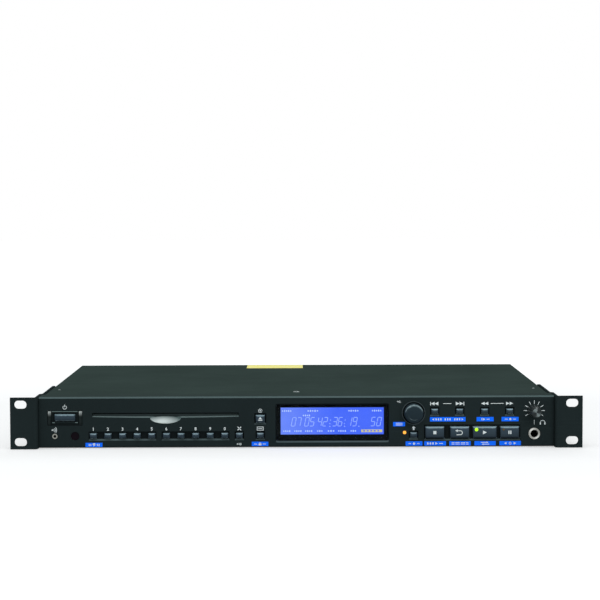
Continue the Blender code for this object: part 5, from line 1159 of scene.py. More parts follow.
# Stage
@dataclass
class Studio:
    """Floor, backdrop, lamps and camera."""

    aim: Point = (0.0, 0.0, 0.02)
    lens: float = 105.71
    stand: Point = (0.0001, -1.6218, 0.2114)
    pitch: float = 3.335
    yaw: float = -0.124
    roll: float = -0.183

    def lamp(self, name: str, place: Point, size: tuple[float, float], power: float) -> None:
        """Adds a soft rectangular lamp that points at the player."""
        data = bpy.data.lights.new(name, "AREA")
        data.shape = "RECTANGLE"
        data.size, data.size_y = size
        data.energy = power
        light = bpy.data.objects.new(name, data)
        light.location = place
        run = Vector(self.aim) - Vector(place)
        light.rotation_euler = run.to_track_quat("-Z", "Y").to_euler()
        bpy.context.scene.collection.objects.link(light)

    def camera(self) -> None:
        """Sets the camera where the photograph was taken from."""
        data = bpy.data.cameras.new("camera")
        data.lens = self.lens
        data.sensor_width = 36.0
        data.clip_start, data.clip_end = 0.05, 50.0
        camera = bpy.data.objects.new("camera", data)
        turn = (
            Matrix.Rotation(math.radians(self.roll), 3, "Z")
            @ Matrix.Rotation(math.radians(self.pitch), 3, "X")
            @ Matrix.Rotation(math.radians(self.yaw), 3, "Y")
        )
        base = Matrix(((1.0, 0.0, 0.0), (0.0, 0.0, -1.0), (0.0, 1.0, 0.0)))
        right, down, ahead = turn @ base
        columns = Matrix((right, -down, -ahead)).transposed()
        camera.matrix_world = Matrix.Translation(self.stand) @ columns.to_4x4()
        bpy.context.scene.collection.objects.link(camera)
        bpy.context.scene.camera = camera

    def seen(self, graph: Graph) -> Socket:
        """Gives 1 for rays that show the background, straight or in metal and glass."""
        path = graph.node("ShaderNodeLightPath").outputs
        straight = graph.math("MAXIMUM", path["Is Camera Ray"], path["Is Glossy Ray"])
        return graph.math("MAXIMUM", straight, path["Is Transmission Ray"])

    def backdrop(self) -> None:
        """Makes the world: soft light for the object, and plain white where it is seen."""
        world = bpy.data.worlds.new("soft_white")
        world.use_nodes = True
        bpy.context.scene.world = world
        graph = Graph(world.node_tree)
        graph.tree.nodes.clear()
        soft = graph.node(
            "ShaderNodeBackground", {"Color": (0.93, 0.97, 1.0, 1.0), "Strength": 0.45}
        )
        white = graph.node("ShaderNodeBackground", {"Color": (1.0, 1.0, 1.0, 1.0)})
        mixed = graph.node(
            "ShaderNodeMixShader", {0: self.seen(graph), 1: soft.outputs[0], 2: white.outputs[0]}
        )
        graph.node("ShaderNodeOutputWorld", {0: mixed.outputs[0]})

    def floor(self) -> None:
        """Lays the pale floor, which keeps the player's shadow."""
        deselect_all()
        bpy.ops.mesh.primitive_plane_add(size=14.0, location=(0.0, 0.0, -0.0003))
        thing = bpy.context.object
        thing.name = "floor"
        material, graph, shader = new_material("pale_floor")
        away = graph.node("ShaderNodeVectorMath", {0: graph.place()}, operation="LENGTH")
        share = graph.span(away.outputs["Value"], 0.40, 1.0, 0.35, 1.5)
        graph.feed(shader, {
            "Base Color": (0.66, 0.67, 0.67, 1.0),
            "Roughness": 0.9,
            "Specular IOR Level": 0.0,
            "Emission Color": (1.0, 1.0, 1.0, 1.0),
            "Emission Strength": graph.times(self.seen(graph), share),
        })
        thing.data.materials.append(material)

    def build(self) -> None:
        """Sets the whole stage."""
        self.camera()
        self.backdrop()
        self.floor()
        self.lamp("lamp_above", (-0.25, -0.45, 1.35), (1.4, 0.9), 8.0)
        self.lamp("lamp_front", (0.8, -1.7, 0.75), (1.0, 0.8), 7.5)
        self.lamp("lamp_back", (0.3, 1.3, 1.0), (1.4, 0.6), 5.0)
        bpy.context.scene.view_settings.view_transform = "Standard"
        log.info("studio set")


@dataclass(frozen=True)
class Zone:
    """Where the faces of one look lie, in millimetres, and which way they may look.

    Depths count from the front of the panel. The last two bound the normal's Y and Z.
    """

    across: Range = OPEN
    deep: Range = OPEN
    high: Range = OPEN
    back: Range = OPEN
    up: Range = OPEN

    def holds(self, centre: Vector, normal: Vector) -> bool:
        """Tells whether a face is one of them."""
        place = (centre.x / MM, (centre.y - PLACES.face) / MM, centre.z / MM)
        limits = (self.across, self.deep, self.high, self.back, self.up)
        found = zip((*place, normal.y, normal.z), limits)
        return all(low < value < high for value, (low, high) in found)


@dataclass
class Case:
    """Panel, cover, pan, rear panel and rack ears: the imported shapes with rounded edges."""

    finishes: Finishes
    rounding: float = 0.15 * MM
    dial: tuple[float, float] = mm(99.15, 28.95)
    collar: float = 10.3 * MM
    edge_low: Point = mm(-206.9, 0.12, 30.75)
    edge_high: Point = mm(-185.1, 0.5, 31.45)
    sill_low: Point = mm(-206.7, 0.25, 21.3)
    sill_high: Point = mm(-185.1, 1.2, 22.05)

    # Zones of faces that get painted light, and the disc slot that some of them leave out.
    slot = Zone((-173.5, -48.0), high=(20.0, 30.5))
    scoop = Zone((-124.4, -97.2), (0.02, 2.5), (20.2, 25.7), up=(0.1, END))
    # Ledges that face up, which get a painted highlight.
    lit_ledge = Zone(deep=(-0.01, 2.2), high=(-END, 40.0), up=(0.35, END))
    sunk = Zone(deep=(0.22, 2.4), back=(-END, 0.3), up=(-END, 0.35))
    troughs = tuple(
        Zone((x - 1.4, x + 1.4), (0.7, END), (19.0, 32.0), up=(-0.5, 0.5))
        for x in (-209.1, -182.9)
    )
    under_button = Zone((-211.0, -181.0), high=(18.5, 23.0), up=(0.35, END))
    chamfer = Zone(high=(41.0, END), back=(-END, -0.1), up=(0.2, END))
    level_top = Zone(high=(42.5, END), up=(0.9, END))

    def beside_slot(self, zone: Zone) -> Test:
        """Makes the test of a zone that leaves out the disc slot."""
        return lambda c, n: zone.holds(c, n) and not self.slot.holds(c, n)

    def in_trough(self, centre: Vector, normal: Vector) -> bool:
        """Tells whether a face lies in one of the upright troughs beside the power button."""
        return any(zone.holds(centre, normal) for zone in self.troughs)

    def on_collar(self, centre: Vector, normal: Vector) -> bool:
        """Tells whether a face belongs to the proud ring about the jog dial."""
        reach = math.hypot(centre.x - self.dial[0], centre.z - self.dial[1])
        return reach < self.collar and centre.y < PLACES.face - 0.05 * MM

    def bar(self, name: str, low: Point, high: Point) -> Draft:
        """Starts a bar of the power button's well, its depths counted from the panel's face."""
        ahead = Vector((0.0, PLACES.face, 0.0))
        return Draft.block(name, Vector(low) + ahead, Vector(high) + ahead)

    def power_frame(self) -> None:
        """Models the thin raised edge over the power button's well, in the slot lip's painted
        highlight.
        """
        draft = self.bar("power_well_edge", self.edge_low, self.edge_high)
        draft.pick(lambda c, run: runs_across(c, run) and c.z > 31.0 * MM, "EDGE")
        draft.bevel(0.18 * MM, 3)
        settle(draft.done(self.finishes.lip), CASE)

    def power_sill(self) -> None:
        """Models the low lip that the power button stands on, with a painted highlight on its two
        ends.
        """
        left, right = self.sill_low[0], self.sill_high[0]
        middle, half = (left + right) / 2, (right - left) / 2
        draft = self.bar("power_well_sill", self.sill_low, self.sill_high)
        draft.pick(runs_across, "EDGE")
        bpy.ops.mesh.subdivide(number_cuts=9)
        draft.pick(lambda c, run: runs_across(c, run) and c.z > 21.5 * MM, "EDGE")
        thing = draft.bevel(0.3 * MM, 3).done(self.finishes.panel)
        # Painted highlight on the sill's two ends.
        dress(thing, self.finishes.lip, lambda c, n: abs(c.x - middle) > half * 0.8)
        settle(thing, CASE)

    def build(self) -> None:
        """Resurfaces the large pieces."""
        kit = self.finishes
        panel = resurface("front_panel", "panel_shell", kit.panel, self.rounding)
        # Painted light on the panel: sheen in the scoop, shade in recesses and under the power
        # button, highlights on the chamfer, ledges, troughs, collar and top.
        for finish, test in (
            (kit.scoop, self.scoop.holds), (kit.shade, self.beside_slot(self.sunk)),
            (kit.chamfer_highlight, self.chamfer.holds), (kit.lit_ledge, self.beside_slot(self.lit_ledge)),
            (kit.shade, self.under_button.holds), (kit.trough_highlight, self.in_trough),
            (kit.collar, self.on_collar), (kit.panel_top_highlight, self.level_top.holds),
        ):
            dress(panel, finish, test)
        self.power_frame()
        self.power_sill()
        for node, name, finish, slot in (
            ("top_cover", "cover_sheet", kit.cover, "cover_grey"),
            ("rear_panel", "rear_sheet", kit.rear, "cover_grey"),
            ("rack_ear_left", "ear_sheet_left", kit.ear, "ear_black"),
            ("rack_ear_right", "ear_sheet_right", kit.ear, "ear_black"),
            ("bottom_chassis", "pan_sheet", kit.steel, "zinc_steel"),
        ):
            resurface(node, name, finish, self.rounding)


@dataclass
class DiscSlot:
    """The lower lip inside the slot, with a painted highlight on its slope, and the two felts that
    keep dust out, the lower one painted lighter and the upper darker, as light and shade.
    """

    finishes: Finishes
    left: float = -172.7 * MM
    right: float = -48.9 * MM
    top: float = 29.7 * MM
    lip_front: float = -0.02 * MM
    lip_back: float = 2.4 * MM
    lip_bottom: float = 24.8 * MM
    lit_bottom: float = 25.9 * MM
    lit_top: float = 27.2 * MM
    sag_below: float = 1.0 * MM
    sag_above: float = 0.5 * MM
    scoop_half: float = 13.1 * MM
    scoop_depth: float = 2.15 * MM
    scoop_level: float = 25.6 * MM
    scoop_drop: float = 4.9 * MM
    scoop_rise: float = 1.15 * MM
    hollow_share: float = 1.4
    parting: float = 28.7 * MM
    felt_bottom: float = 25.3 * MM
    felt_gap: float = 0.3 * MM
    felt_depth: float = 2.7 * MM

    def shape_lip(self, draft: Draft) -> None:
        """Bows the bar downwards and hollows it where the finger scoop is."""
        mesh = bmesh.from_edit_mesh(draft.thing.data)
        middle, half = (self.left + self.right) / 2, (self.right - self.left) / 2
        for vertex in mesh.verts:
            share = (vertex.co.x - middle) / half
            height = (vertex.co.z - self.lit_bottom) / (self.lit_top - self.lit_bottom)
            height = min(1.0, max(0.0, height))
            sag = self.sag_below + (self.sag_above - self.sag_below) * height
            beside = abs(vertex.co.x - middle) / self.scoop_half
            if beside < 1.0:
                back = PLACES.face + self.lip_back
                hollow = self.hollow_share * self.scoop_depth * math.sqrt(1.0 - beside * beside)
                vertex.co.y = min(max(vertex.co.y, back), vertex.co.y + hollow)
            vertex.co.z -= sag * (1.0 - share * share)
        bmesh.update_edit_mesh(draft.thing.data)

    def lip(self) -> None:
        """Models the lip: a bar with a long slope towards the front."""
        low = (self.left, PLACES.face + self.lip_front, self.lip_bottom)
        high = (self.right, PLACES.face + self.lip_back, self.lit_top)
        draft = Draft.block("slot_lip", low, high)
        draft.pick(runs_across, "EDGE")
        bpy.ops.mesh.subdivide(number_cuts=96)
        near = 0.1 * MM
        draft.pick(
            lambda c, run: abs(run.x) > near and c.y < low[1] + near and c.z > high[2] - near,
            "EDGE",
        )
        draft.bevel(self.lit_top - self.lit_bottom, 4)
        self.shape_lip(draft)
        thing = draft.done(self.finishes.panel)
        # Painted highlight on the lip's faces that look up.
        dress(thing, self.finishes.lip, lambda c, n: n.z > 0.3)
        settle(thing, CASE)

    def scoop(self) -> None:
        """Models a thin shell over the finger scoop that carries its painted sheen: half a
        flattened ball, drawn up to the slot.
        """
        middle = ((self.left + self.right) / 2, PLACES.face, self.scoop_level)
        deselect_all()
        bpy.ops.mesh.primitive_uv_sphere_add(
            segments=96, ring_count=48, radius=1.0, location=middle
        )
        draft = Draft("scoop_liner")
        draft.pick_all().stretch((self.scoop_half, self.scoop_depth, self.scoop_drop), middle)
        draft.pick(lambda c, n: c.z > self.scoop_level)
        draft.stretch((1.0, 1.0, self.scoop_rise / self.scoop_drop), middle)
        draft.pick_all()
        front = (middle[0], PLACES.face + 0.03 * MM, middle[2])
        bpy.ops.mesh.bisect(plane_co=front, plane_no=(0.0, 1.0, 0.0), clear_inner=True)
        draft.pick_all().extrude((0.0, 0.07 * MM, 0.0))
        settle(draft.done(self.finishes.scoop), CASE)

    def felt(self, name: str, bottom: float, top: float, finish: Material) -> None:
        """Models one felt with a soft edge along the slot."""
        front = PLACES.face + self.felt_depth
        draft = Draft.block(name, (self.left, front, bottom), (self.right, front + 1.2 * MM, top))
        draft.pick(looks_forwards).inset(0.25 * MM).slide((0.0, -0.2 * MM, 0.0))
        settle(draft.done(finish, rounding=0.1 * MM), CASE)

    def build(self) -> None:
        """Models the lip, the shell with the scoop's painted sheen, and both felts."""
        self.lip()
        self.scoop()
        kit, parting = self.finishes, self.parting
        # The upper felt carries painted shade, the lower one painted light.
        self.felt("slot_felt_upper", parting + self.felt_gap, self.top, kit.felt)
        self.felt("slot_felt_lower", self.felt_bottom, parting, kit.lit_felt)


@dataclass
class Caps:
    """Push buttons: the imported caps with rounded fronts, their pictograms and lamps."""

    finishes: Finishes
    small_round: float = 0.8 * MM
    large_round: float = 1.15 * MM
    crisp_round: float = 0.6 * MM
    crown: float = 0.06 * MM

    def cap(
        self, node: str, rounding: float, symbol: Callable[[Print], None] | None = None,
        lamp: Thing | None = None,
    ) -> None:
        """Models one cap.

        Args:
            node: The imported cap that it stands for.
            rounding: Width of the rounding about its front.
            symbol: Draws its pictogram.
            lamp: A lens that is let into its face.
        """
        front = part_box(node)[0].y
        draft = Draft.packed(f"{node}_cap", node)
        draft.pick(lambda c, run: abs(c.y - front) < LEVEL, "EDGE").bevel(rounding, 4)
        draft.pick(at_front(front)).inset(rounding * 0.8).slide((0.0, -self.crown, 0.0))
        thing = draft.done(self.finishes.key)
        # These marks place the key finish's painted highlights on the top and up-facing edges and
        # its painted shade at the foot.
        mark_edges(thing, rounding)
        mark_rise(thing, self.crown + rounding * 1.1)
        things = [thing]
        if symbol:
            ink = Print(f"{node}_symbol", front - self.crown + 0.01 * MM)
            symbol(ink)
            things.append(ink.done(self.finishes.white))
        if lamp:
            things.append(lamp)
        settle(assembled(f"{node}_cap", things), node, [node])

    def lamp(self, name: str, place: Point, radius: float, finish: Material) -> Thing:
        """Turns a small domed lens that stands on an upright plane."""
        profile = [(radius, -0.8 * MM), (radius, 0.0)] + [
            (radius * share, height * MM)
            for share, height in ((0.92, 0.16), (0.7, 0.3), (0.35, 0.38))
        ]
        return Draft.turned(name, profile, 20).done(finish, move=Side.FRONT.at(*place))

    def build(self) -> None:
        """Models all 23 caps and the lamp beside the shift key."""
        kit = self.finishes
        for node in [f"number_key_{digit}" for digit in range(10)] + [
            "clear_key", "display_key", "shift_key", "skip_back_key", "skip_forward_key",
            "search_back_key", "search_forward_key",
        ]:
            self.cap(node, self.small_round)
        self.cap("eject_button", self.small_round, self.draw_eject)
        self.cap("power_button", self.crisp_round)
        front, large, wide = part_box("play_button")[0].y, self.large_round, 1.45 * MM
        green = self.lamp("play_lamp", (152.3 * MM, front, 14.8 * MM), wide, kit.lamp_green)
        dim = self.lamp("pause_lamp", (175.2 * MM, front, 14.7 * MM), 0.8 * MM, kit.lamp_dim)
        self.cap("stop_button", large, lambda ink: ink.bar(117.0, 12.4, 2.6, 2.7))
        self.cap("call_button", large, self.draw_return)
        self.cap("play_button", large, lambda ink: ink.arrow(159.4, 12.4, 3.3, 3.3), green)
        self.cap("pause_button", large, self.draw_pause, dim)
        place = (91.5 * MM, PLACES.face, 12.3 * MM)
        settle(self.lamp("shift_lamp", place, wide, kit.lamp_orange), CASE)

    def draw_eject(self, ink: Print) -> None:
        """Draws the peak and bar of an eject sign."""
        ink.peak(-30.6, 25.1, 3.4, 2.0)
        ink.bar(-30.6, 23.3, 3.4, 0.7)

    def draw_pause(self, ink: Print) -> None:
        """Draws the two bars of a pause sign."""
        ink.bars((179.7, 12.4, 1.0, 2.9), (181.3, 12.4, 1.0, 2.9))

    def draw_return(self, ink: Print) -> None:
        """Draws a bent arrow that leads back."""
        ink.arc(138.6, 12.2, 2.0, 0.6, -90.0, 90.0)
        ink.bars((137.55, 13.9, 2.1, 0.6), (137.0, 10.5, 3.2, 0.6))
        ink.arrow(135.3, 13.9, -2.2, 2.2)


@dataclass
class Display:
    """Window, black surround and backlit display with its digits."""

    finishes: Finishes
    opening: tuple[float, float, float, float] = (-13.4, 10.6, 74.0, 33.6)
    digit_width: float = 3.1
    digit_height: float = 7.3
    digit_level: float = 21.3
    mark_pitch: float = 1.9
    line: float = 0.55
    slant: float = 1.5

    segments = {
        "0": "abcdef", "1": "bc", "2": "abged", "3": "abgcd", "4": "fgbc", "5": "afgcd",
        "6": "afgedc", "7": "abc", "8": "abcdefg", "9": "abcdfg",
    }

    def pane(self) -> None:
        """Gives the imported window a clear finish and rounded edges."""
        draft = Draft.packed("window_pane", "display_window")
        thing = draft.done(self.finishes.pane, rounding=0.2 * MM)
        settle(thing, CASE, ["display_window"])

    def surround(self) -> None:
        """Models the black surround behind the pane, with the opening over the display."""
        low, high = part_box("display_window")
        left, bottom, right, top = (value * MM for value in self.opening)
        start, end = (low.x, high.y, low.z), (high.x, high.y + 0.3 * MM, high.z)
        draft = Draft.block("window_surround", start, end)
        draft.pick(lambda c, n: abs(n.y) > STRAIGHT).inset(2.0 * MM, apart=True)
        mesh = bmesh.from_edit_mesh(draft.thing.data)
        for vertex in (v for v in mesh.verts if v.select):
            vertex.co.x = left if vertex.co.x < (low.x + high.x) / 2 else right
            vertex.co.z = bottom if vertex.co.z < (low.z + high.z) / 2 else top
        bmesh.update_edit_mesh(draft.thing.data)
        bpy.ops.mesh.bridge_edge_loops()
        settle(draft.done(self.finishes.bezel), CASE)

    def digit(self, ink: Print, sign: str, x: float, z: float) -> None:
        """Draws one slanted seven-bar digit."""
        w, h, line = self.digit_width, self.digit_height, self.line
        half, lean = h / 2, self.slant / 4
        across, upright = w - line * 1.1, half - line * 0.75
        bars = {
            "a": (x + 2 * lean, z + half, across, line), "g": (x, z, across, line),
            "d": (x - 2 * lean, z - half, across, line),
            "f": (x - w / 2 + lean, z + half / 2, line, upright),
            "b": (x + w / 2 + lean, z + half / 2, line, upright),
            "e": (x - w / 2 - lean, z - half / 2, line, upright),
            "c": (x + w / 2 - lean, z - half / 2, line, upright),
        }
        for key in self.segments[sign]:
            bx, bz, bw, bh = bars[key]
            ink.bar(bx, bz, bw, bh, self.slant * bh / h)

    def signs(self) -> None:
        """Prints the pale digits, small marks and the boxed mark beside them."""
        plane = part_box("lcd_module")[0].y
        ink = Print("display_digits", plane)
        places = (-2.3, 2.1, 8.9, 13.4, 19.9, 24.4, 32.7, 37.2, 45.0, 49.5, 65.0, 70.0)
        for sign, x in zip("070542361950", places):
            self.digit(ink, sign, x, self.digit_level)
        for x in (28.6, 41.0):
            ink.dot(x + 0.3, 22.7, 0.4)
            ink.dot(x - 0.3, 19.6, 0.4)
        for x in (28.3, 40.8, 52.9):
            ink.dot(x, 17.3, 0.55, 5)
        settle(ink.done(self.finishes.pale), CASE)
        ink = Print("display_marks", plane)
        for left, right, z in (
            (-12.7, -4.0, 30.6), (9.0, 18.7, 30.6), (43.6, 52.9, 30.6), (63.7, 72.3, 30.6),
            (5.1, 11.8, 26.7), (-11.6, -4.9, 13.4), (-2.3, 4.6, 13.4), (7.0, 13.7, 13.4),
            (17.1, 22.4, 13.4), (26.1, 32.5, 13.4), (34.9, 42.3, 13.4), (45.5, 50.9, 13.4),
        ):
            self.mark(ink, left, right, z)
        settle(ink.done(self.finishes.mark_ink), CASE)
        box = Print("display_mark", plane)
        box.bar(63.8, 13.4, 17.8, 2.2)
        settle(box.done(self.finishes.amber), CASE)
        lines = Print("display_mark_lines", plane - 0.04 * MM)
        for x in (57.4, 60.4, 63.4, 66.4, 69.4):
            lines.bar(x, 13.4, 1.7, 1.1)
        settle(lines.done(self.finishes.backlight), CASE)

    def mark(self, ink: Print, left: float, right: float, z: float) -> None:
        """Draws one small mark as a row of short bars."""
        count = max(2, round((right - left) / self.mark_pitch))
        pitch = (right - left) / count
        for place in range(count):
            height = 1.5 if place % 2 else 1.1
            ink.bar(left + pitch * (place + 0.5), z, pitch * 0.55, height)

    def build(self) -> None:
        """Models the display from front to back."""
        kit = self.finishes
        self.pane()
        self.surround()
        module = resurface("lcd_module", "display_face", kit.socket, 0.1 * MM)
        dress(module, kit.backlight, looks_forwards)
        self.signs()


@dataclass
class Controls:
    """Jog dial and headphone level knob."""

    finishes: Finishes
    pointer_proud: float = 0.05 * MM
    pointer_half: float = 0.35 * MM
    pointer_low: float = 1.4 * MM
    pointer_high: float = 4.3 * MM

    def dial(self) -> None:
        """Rounds the dial's rim and hollows its face very slightly."""
        draft = Draft.packed("jog_dial_shell", "jog_dial")
        draft.pick(at_front(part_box("jog_dial")[0].y))
        draft.inset(1.0 * MM).slide((0.0, -0.25 * MM, 0.0)).inset(0.7 * MM, 0.1 * MM)
        thing = draft.done(self.finishes.dial, rounding=0.4 * MM)
        # These marks place the dial finish's painted highlight on its upper rim and its painted
        # shade towards the bottom.
        mark_edges(thing, 0.9 * MM)
        mark_rise(thing)
        settle(thing, "jog_dial", ["jog_dial"])

    def knob(self) -> None:
        """Gives the knob a spun face with painted highlight fans, and a pointer with a dark core.
        """
        kit, middle = self.finishes, PLACES.middle("phones_knob")
        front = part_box("phones_knob")[0].y
        draft = Draft.packed("phones_knob_shell", "phones_knob")
        draft.pick(at_front(front)).slide((0.0, self.pointer_proud, 0.0))
        shell = draft.done(kit.knob, rounding=0.35 * MM)
        mark_edges(shell)
        dress(shell, kit.spun, lambda c, n: n.y < -0.95 and c.y < front + 0.3 * MM)
        start = (middle.x - self.pointer_half, front, middle.z + self.pointer_low)
        end = (middle.x + self.pointer_half, front + 1.2 * MM, middle.z + self.pointer_high)
        draft = Draft.block("phones_pointer", start, end)
        pointer = draft.pick(looks_forwards).inset(0.1 * MM, 0.02 * MM).done(kit.white)
        dress(
            pointer, kit.socket,
            lambda c, n: n.y < -0.99 and c.y > front + LEVEL and abs(c.x - middle.x) < 0.05 * MM,
        )
        whole = assembled("phones_knob_shell", [shell, pointer])
        settle(whole, "phones_knob", ["phones_knob"])

    def build(self) -> None:
        """Models both."""
        self.dial()
        self.knob()


@dataclass
class FrontSockets:
    """Headphone socket, remote socket and infrared window."""

    finishes: Finishes

    def ring(self, node: str, name: str, proud: float, plating: Material) -> None:
        """Plates the ring of a socket and leaves its body black."""
        thing = resurface(node, name, self.finishes.socket, 0.12 * MM)
        ring, axis = PLACES.face - proud, PLACES.middle(node)
        if node == "phones_jack":
            axis = Vector((PHONES_SOCKET[0], 0.0, PHONES_SOCKET[1]))
        dress(
            thing, plating,
            lambda c, n: ring < c.y < PLACES.face + 0.1 * MM
            and (n.y < -0.35 or (c.x - axis.x) * n.x + (c.z - axis.z) * n.z > 0.0),
        )

    def build(self) -> None:
        """Models the sockets and the window."""
        kit = self.finishes
        # The headphone ring's finish paints two highlight fans on it.
        self.ring("phones_jack", "phones_socket", 1.3 * MM, kit.socket_ring)
        self.ring("remote_jack", "remote_socket", 0.7 * MM, kit.dull_nickel)
        window = Draft.packed("infrared_window", "ir_window")
        window.pick(at_front(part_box("ir_window")[0].y))
        window.inset(0.5 * MM, 0.15 * MM).inset(0.9 * MM, 0.1 * MM)
        thing = window.done(kit.infrared, rounding=0.12 * MM)
        settle(thing, CASE, ["ir_window"])


@dataclass
class Legends:
    """Printed digits, pictograms, scale ticks and blue fields on the panel."""

    finishes: Finishes
    digits_left: float = -172.0
    digits_pitch: float = 12.36
    digits_level: float = 16.1
    digits_height: float = 2.7
    scale_middle: tuple[float, float] = (201.3, 30.6)
    scale_start: float = -120.0
    scale_step: float = 30.0
    scale_ticks: int = 9

    plates = (
        (-178.7, -164.4, 0.9, 4.4), (-37.9, -23.9, 1.2, 4.9), (92.4, 106.6, 1.1, 4.8),
        (108.2, 126.6, 1.1, 4.8), (129.4, 147.5, 1.1, 4.8), (150.7, 168.7, 1.1, 4.8),
        (171.9, 190.0, 1.1, 4.8), (113.0, 143.1, 21.6, 25.3), (152.5, 166.9, 21.6, 25.3),
        (173.6, 188.0, 21.6, 25.3), (81.8, 91.9, 17.6, 21.3),
    )

    def blue_fields(self) -> None:
        """Prints the blue fields under the signs of the second layer."""
        ink = Print("legends_blue", PLACES.face, 0.02 * MM)
        for left, right, bottom, top in self.plates:
            ink.bar((left + right) / 2, (bottom + top) / 2, right - left, top - bottom)
        # The blue ink glows faintly as painted light.
        settle(ink.done(self.finishes.blue), CASE)

    def digits(self, ink: Print) -> None:
        """Prints a digit above each number key."""
        for place, digit in enumerate("1234567890"):
            x = self.digits_left + self.digits_pitch * place
            ink.text(digit, x, self.digits_level, self.digits_height)

    def panel_signs(self, ink: Print) -> None:
        """Draws the pictograms beside the controls."""
        ink.arc(-196.0, 34.7, 1.75, 0.45, 125.0, 415.0)
        ink.bar(-196.0, 35.9, 0.5, 2.2)
        ink.dot(-206.6, 15.4, 0.6)
        for radius in (1.6, 2.7, 3.8):
            ink.arc(-206.6, 15.4, radius, 0.45, -42.0, 42.0)
        ink.arc(-30.6, 31.2, 1.7, 0.4, 0.0, 350.0)
        ink.dot(-30.6, 31.2, 0.6)
        ink.polygon([(-50.1, 15.0), (-49.6, 14.5), (-46.7, 17.4), (-47.2, 17.9)])
        ink.polygon([(-50.1, 17.4), (-47.2, 14.5), (-46.7, 15.0), (-49.6, 17.9)])
        ink.frame(-30.7, 16.1, 5.6, 3.2, 0.45)
        ink.bar(-30.7, 16.1, 3.6, 0.5)
        ink.peak(99.2, 17.0, 3.2, 1.6)
        ink.bar(99.2, 15.3, 1.3, 1.8)
        ink.text("+10", -48.7, 2.9, 2.0)
        ink.text("+/-", 86.8, 38.6, 2.2)
        for middle, side in ((117.0, -1.0), (138.15, 1.0)):
            for step in (-1.7, 1.5):
                ink.arrow(middle + step, 36.8, 3.2 * side, 3.0)
            ink.bar(middle + 3.5 * side, 36.8, 0.6, 3.0)
        for middle, side in ((159.3, -1.0), (180.45, 1.0)):
            for step in (-1.5, 1.5):
                ink.arrow(middle + step, 36.8, 3.1 * side, 2.7)
        ink.bars(
            (127.6, 36.8, 7.0, 0.45), (169.9, 36.8, 11.0, 0.45), (201.3, 20.8, 0.4, 3.8)
        )
        ink.arc(208.4, 20.3, 2.2, 0.45, 0.0, 180.0)
        ink.bars((206.5, 19.7, 1.0, 1.9), (210.3, 19.7, 1.0, 1.9))

    def scale(self, ink: Print) -> None:
        """Draws the ticks about the level knob."""
        middle = Vector(self.scale_middle)
        for step in range(self.scale_ticks):
            turn = math.radians(self.scale_start + self.scale_step * step)
            out = Vector((math.sin(turn), math.cos(turn)))
            side = Vector((math.cos(turn), -math.sin(turn)))
            corners = ((5.9, -0.25), (5.9, 0.25), (8.8, 0.25), (8.8, -0.25))
            ink.polygon([tuple(middle + out * reach + side * half) for reach, half in corners])

    def field_signs(self, ink: Print) -> None:
        """Draws the pictograms in the blue fields."""
        ink.polygon([
            (-172.3, 4.0), (-170.2, 4.0), (-171.0, 2.9), (-169.8, 2.9), (-172.2, 1.2),
            (-171.6, 2.5), (-172.8, 2.5),
        ])
        for x in (-175.6, -174.2, -168.6, -167.2):
            ink.bar(x, 2.6, 0.7, 1.7)
        ink.bar(-30.9, 2.6, 2.4, 1.5)
        ink.arc(-30.9, 3.3, 0.95, 0.35, 0.0, 180.0)
        ink.bars((-34.6, 2.9, 2.6, 0.5), (-27.3, 2.9, 2.6, 0.5))
        ink.peak(99.5, 3.3, 2.6, 1.4)
        ink.bars((99.5, 2.2, 1.2, 0.9), (95.9, 2.9, 2.0, 0.5), (103.1, 2.9, 2.0, 0.5))
        for x in (111.2, 113.4, 115.6):
            ink.bar(x, 2.9, 1.2, 1.7)
        ink.arrow(118.6, 2.9, 2.0, 2.0)
        ink.bar(122.4, 2.9, 3.2, 0.5)
        for x, width in ((132.6, 2.4), (136.4, 3.6), (141.0, 3.6), (144.6, 2.0)):
            ink.bars((x, 3.5, width, 0.5), (x, 2.3, width, 0.5))
        for x, z, side in ((158.6, 3.65, 1.0), (160.8, 2.15, -1.0)):
            ink.bar(x, z, 4.6, 0.5)
            ink.arrow(x + 3.2 * side, z, 1.6 * side, 1.4)
        ink.arrows((176.9, 2.9, -2.0, 1.9), (185.0, 2.9, 2.0, 1.9))
        ink.arc(180.95, 2.9, 1.1, 0.4, 0.0, 350.0)
        for x in (118.2, 120.2, 122.2, 126.0, 128.0, 130.0, 134.0, 136.0, 138.0):
            ink.bar(x, 23.4, 1.0, 1.7)
        ink.arrows((115.6, 23.4, -1.7, 1.7), (140.6, 23.4, 1.7, 1.7))
        ink.bar(157.0, 23.4, 0.6, 1.8)
        ink.arrow(158.9, 23.4, 2.0, 1.8)
        ink.bars((162.2, 23.4, 2.6, 0.5), (177.6, 23.4, 2.6, 0.5))
        ink.dot(181.0, 23.4, 0.9)
        ink.bar(184.4, 23.4, 2.6, 0.5)
        for z in (20.3, 19.45, 18.6):
            ink.bar(86.9, z, 5.6, 0.4)

    def build(self) -> None:
        """Prints both inks."""
        self.blue_fields()
        ink = Print("legends_white", PLACES.face, 0.05 * MM)
        self.digits(ink)
        self.panel_signs(ink)
        self.scale(ink)
        self.field_signs(ink)
        settle(ink.done(self.finishes.white), CASE)


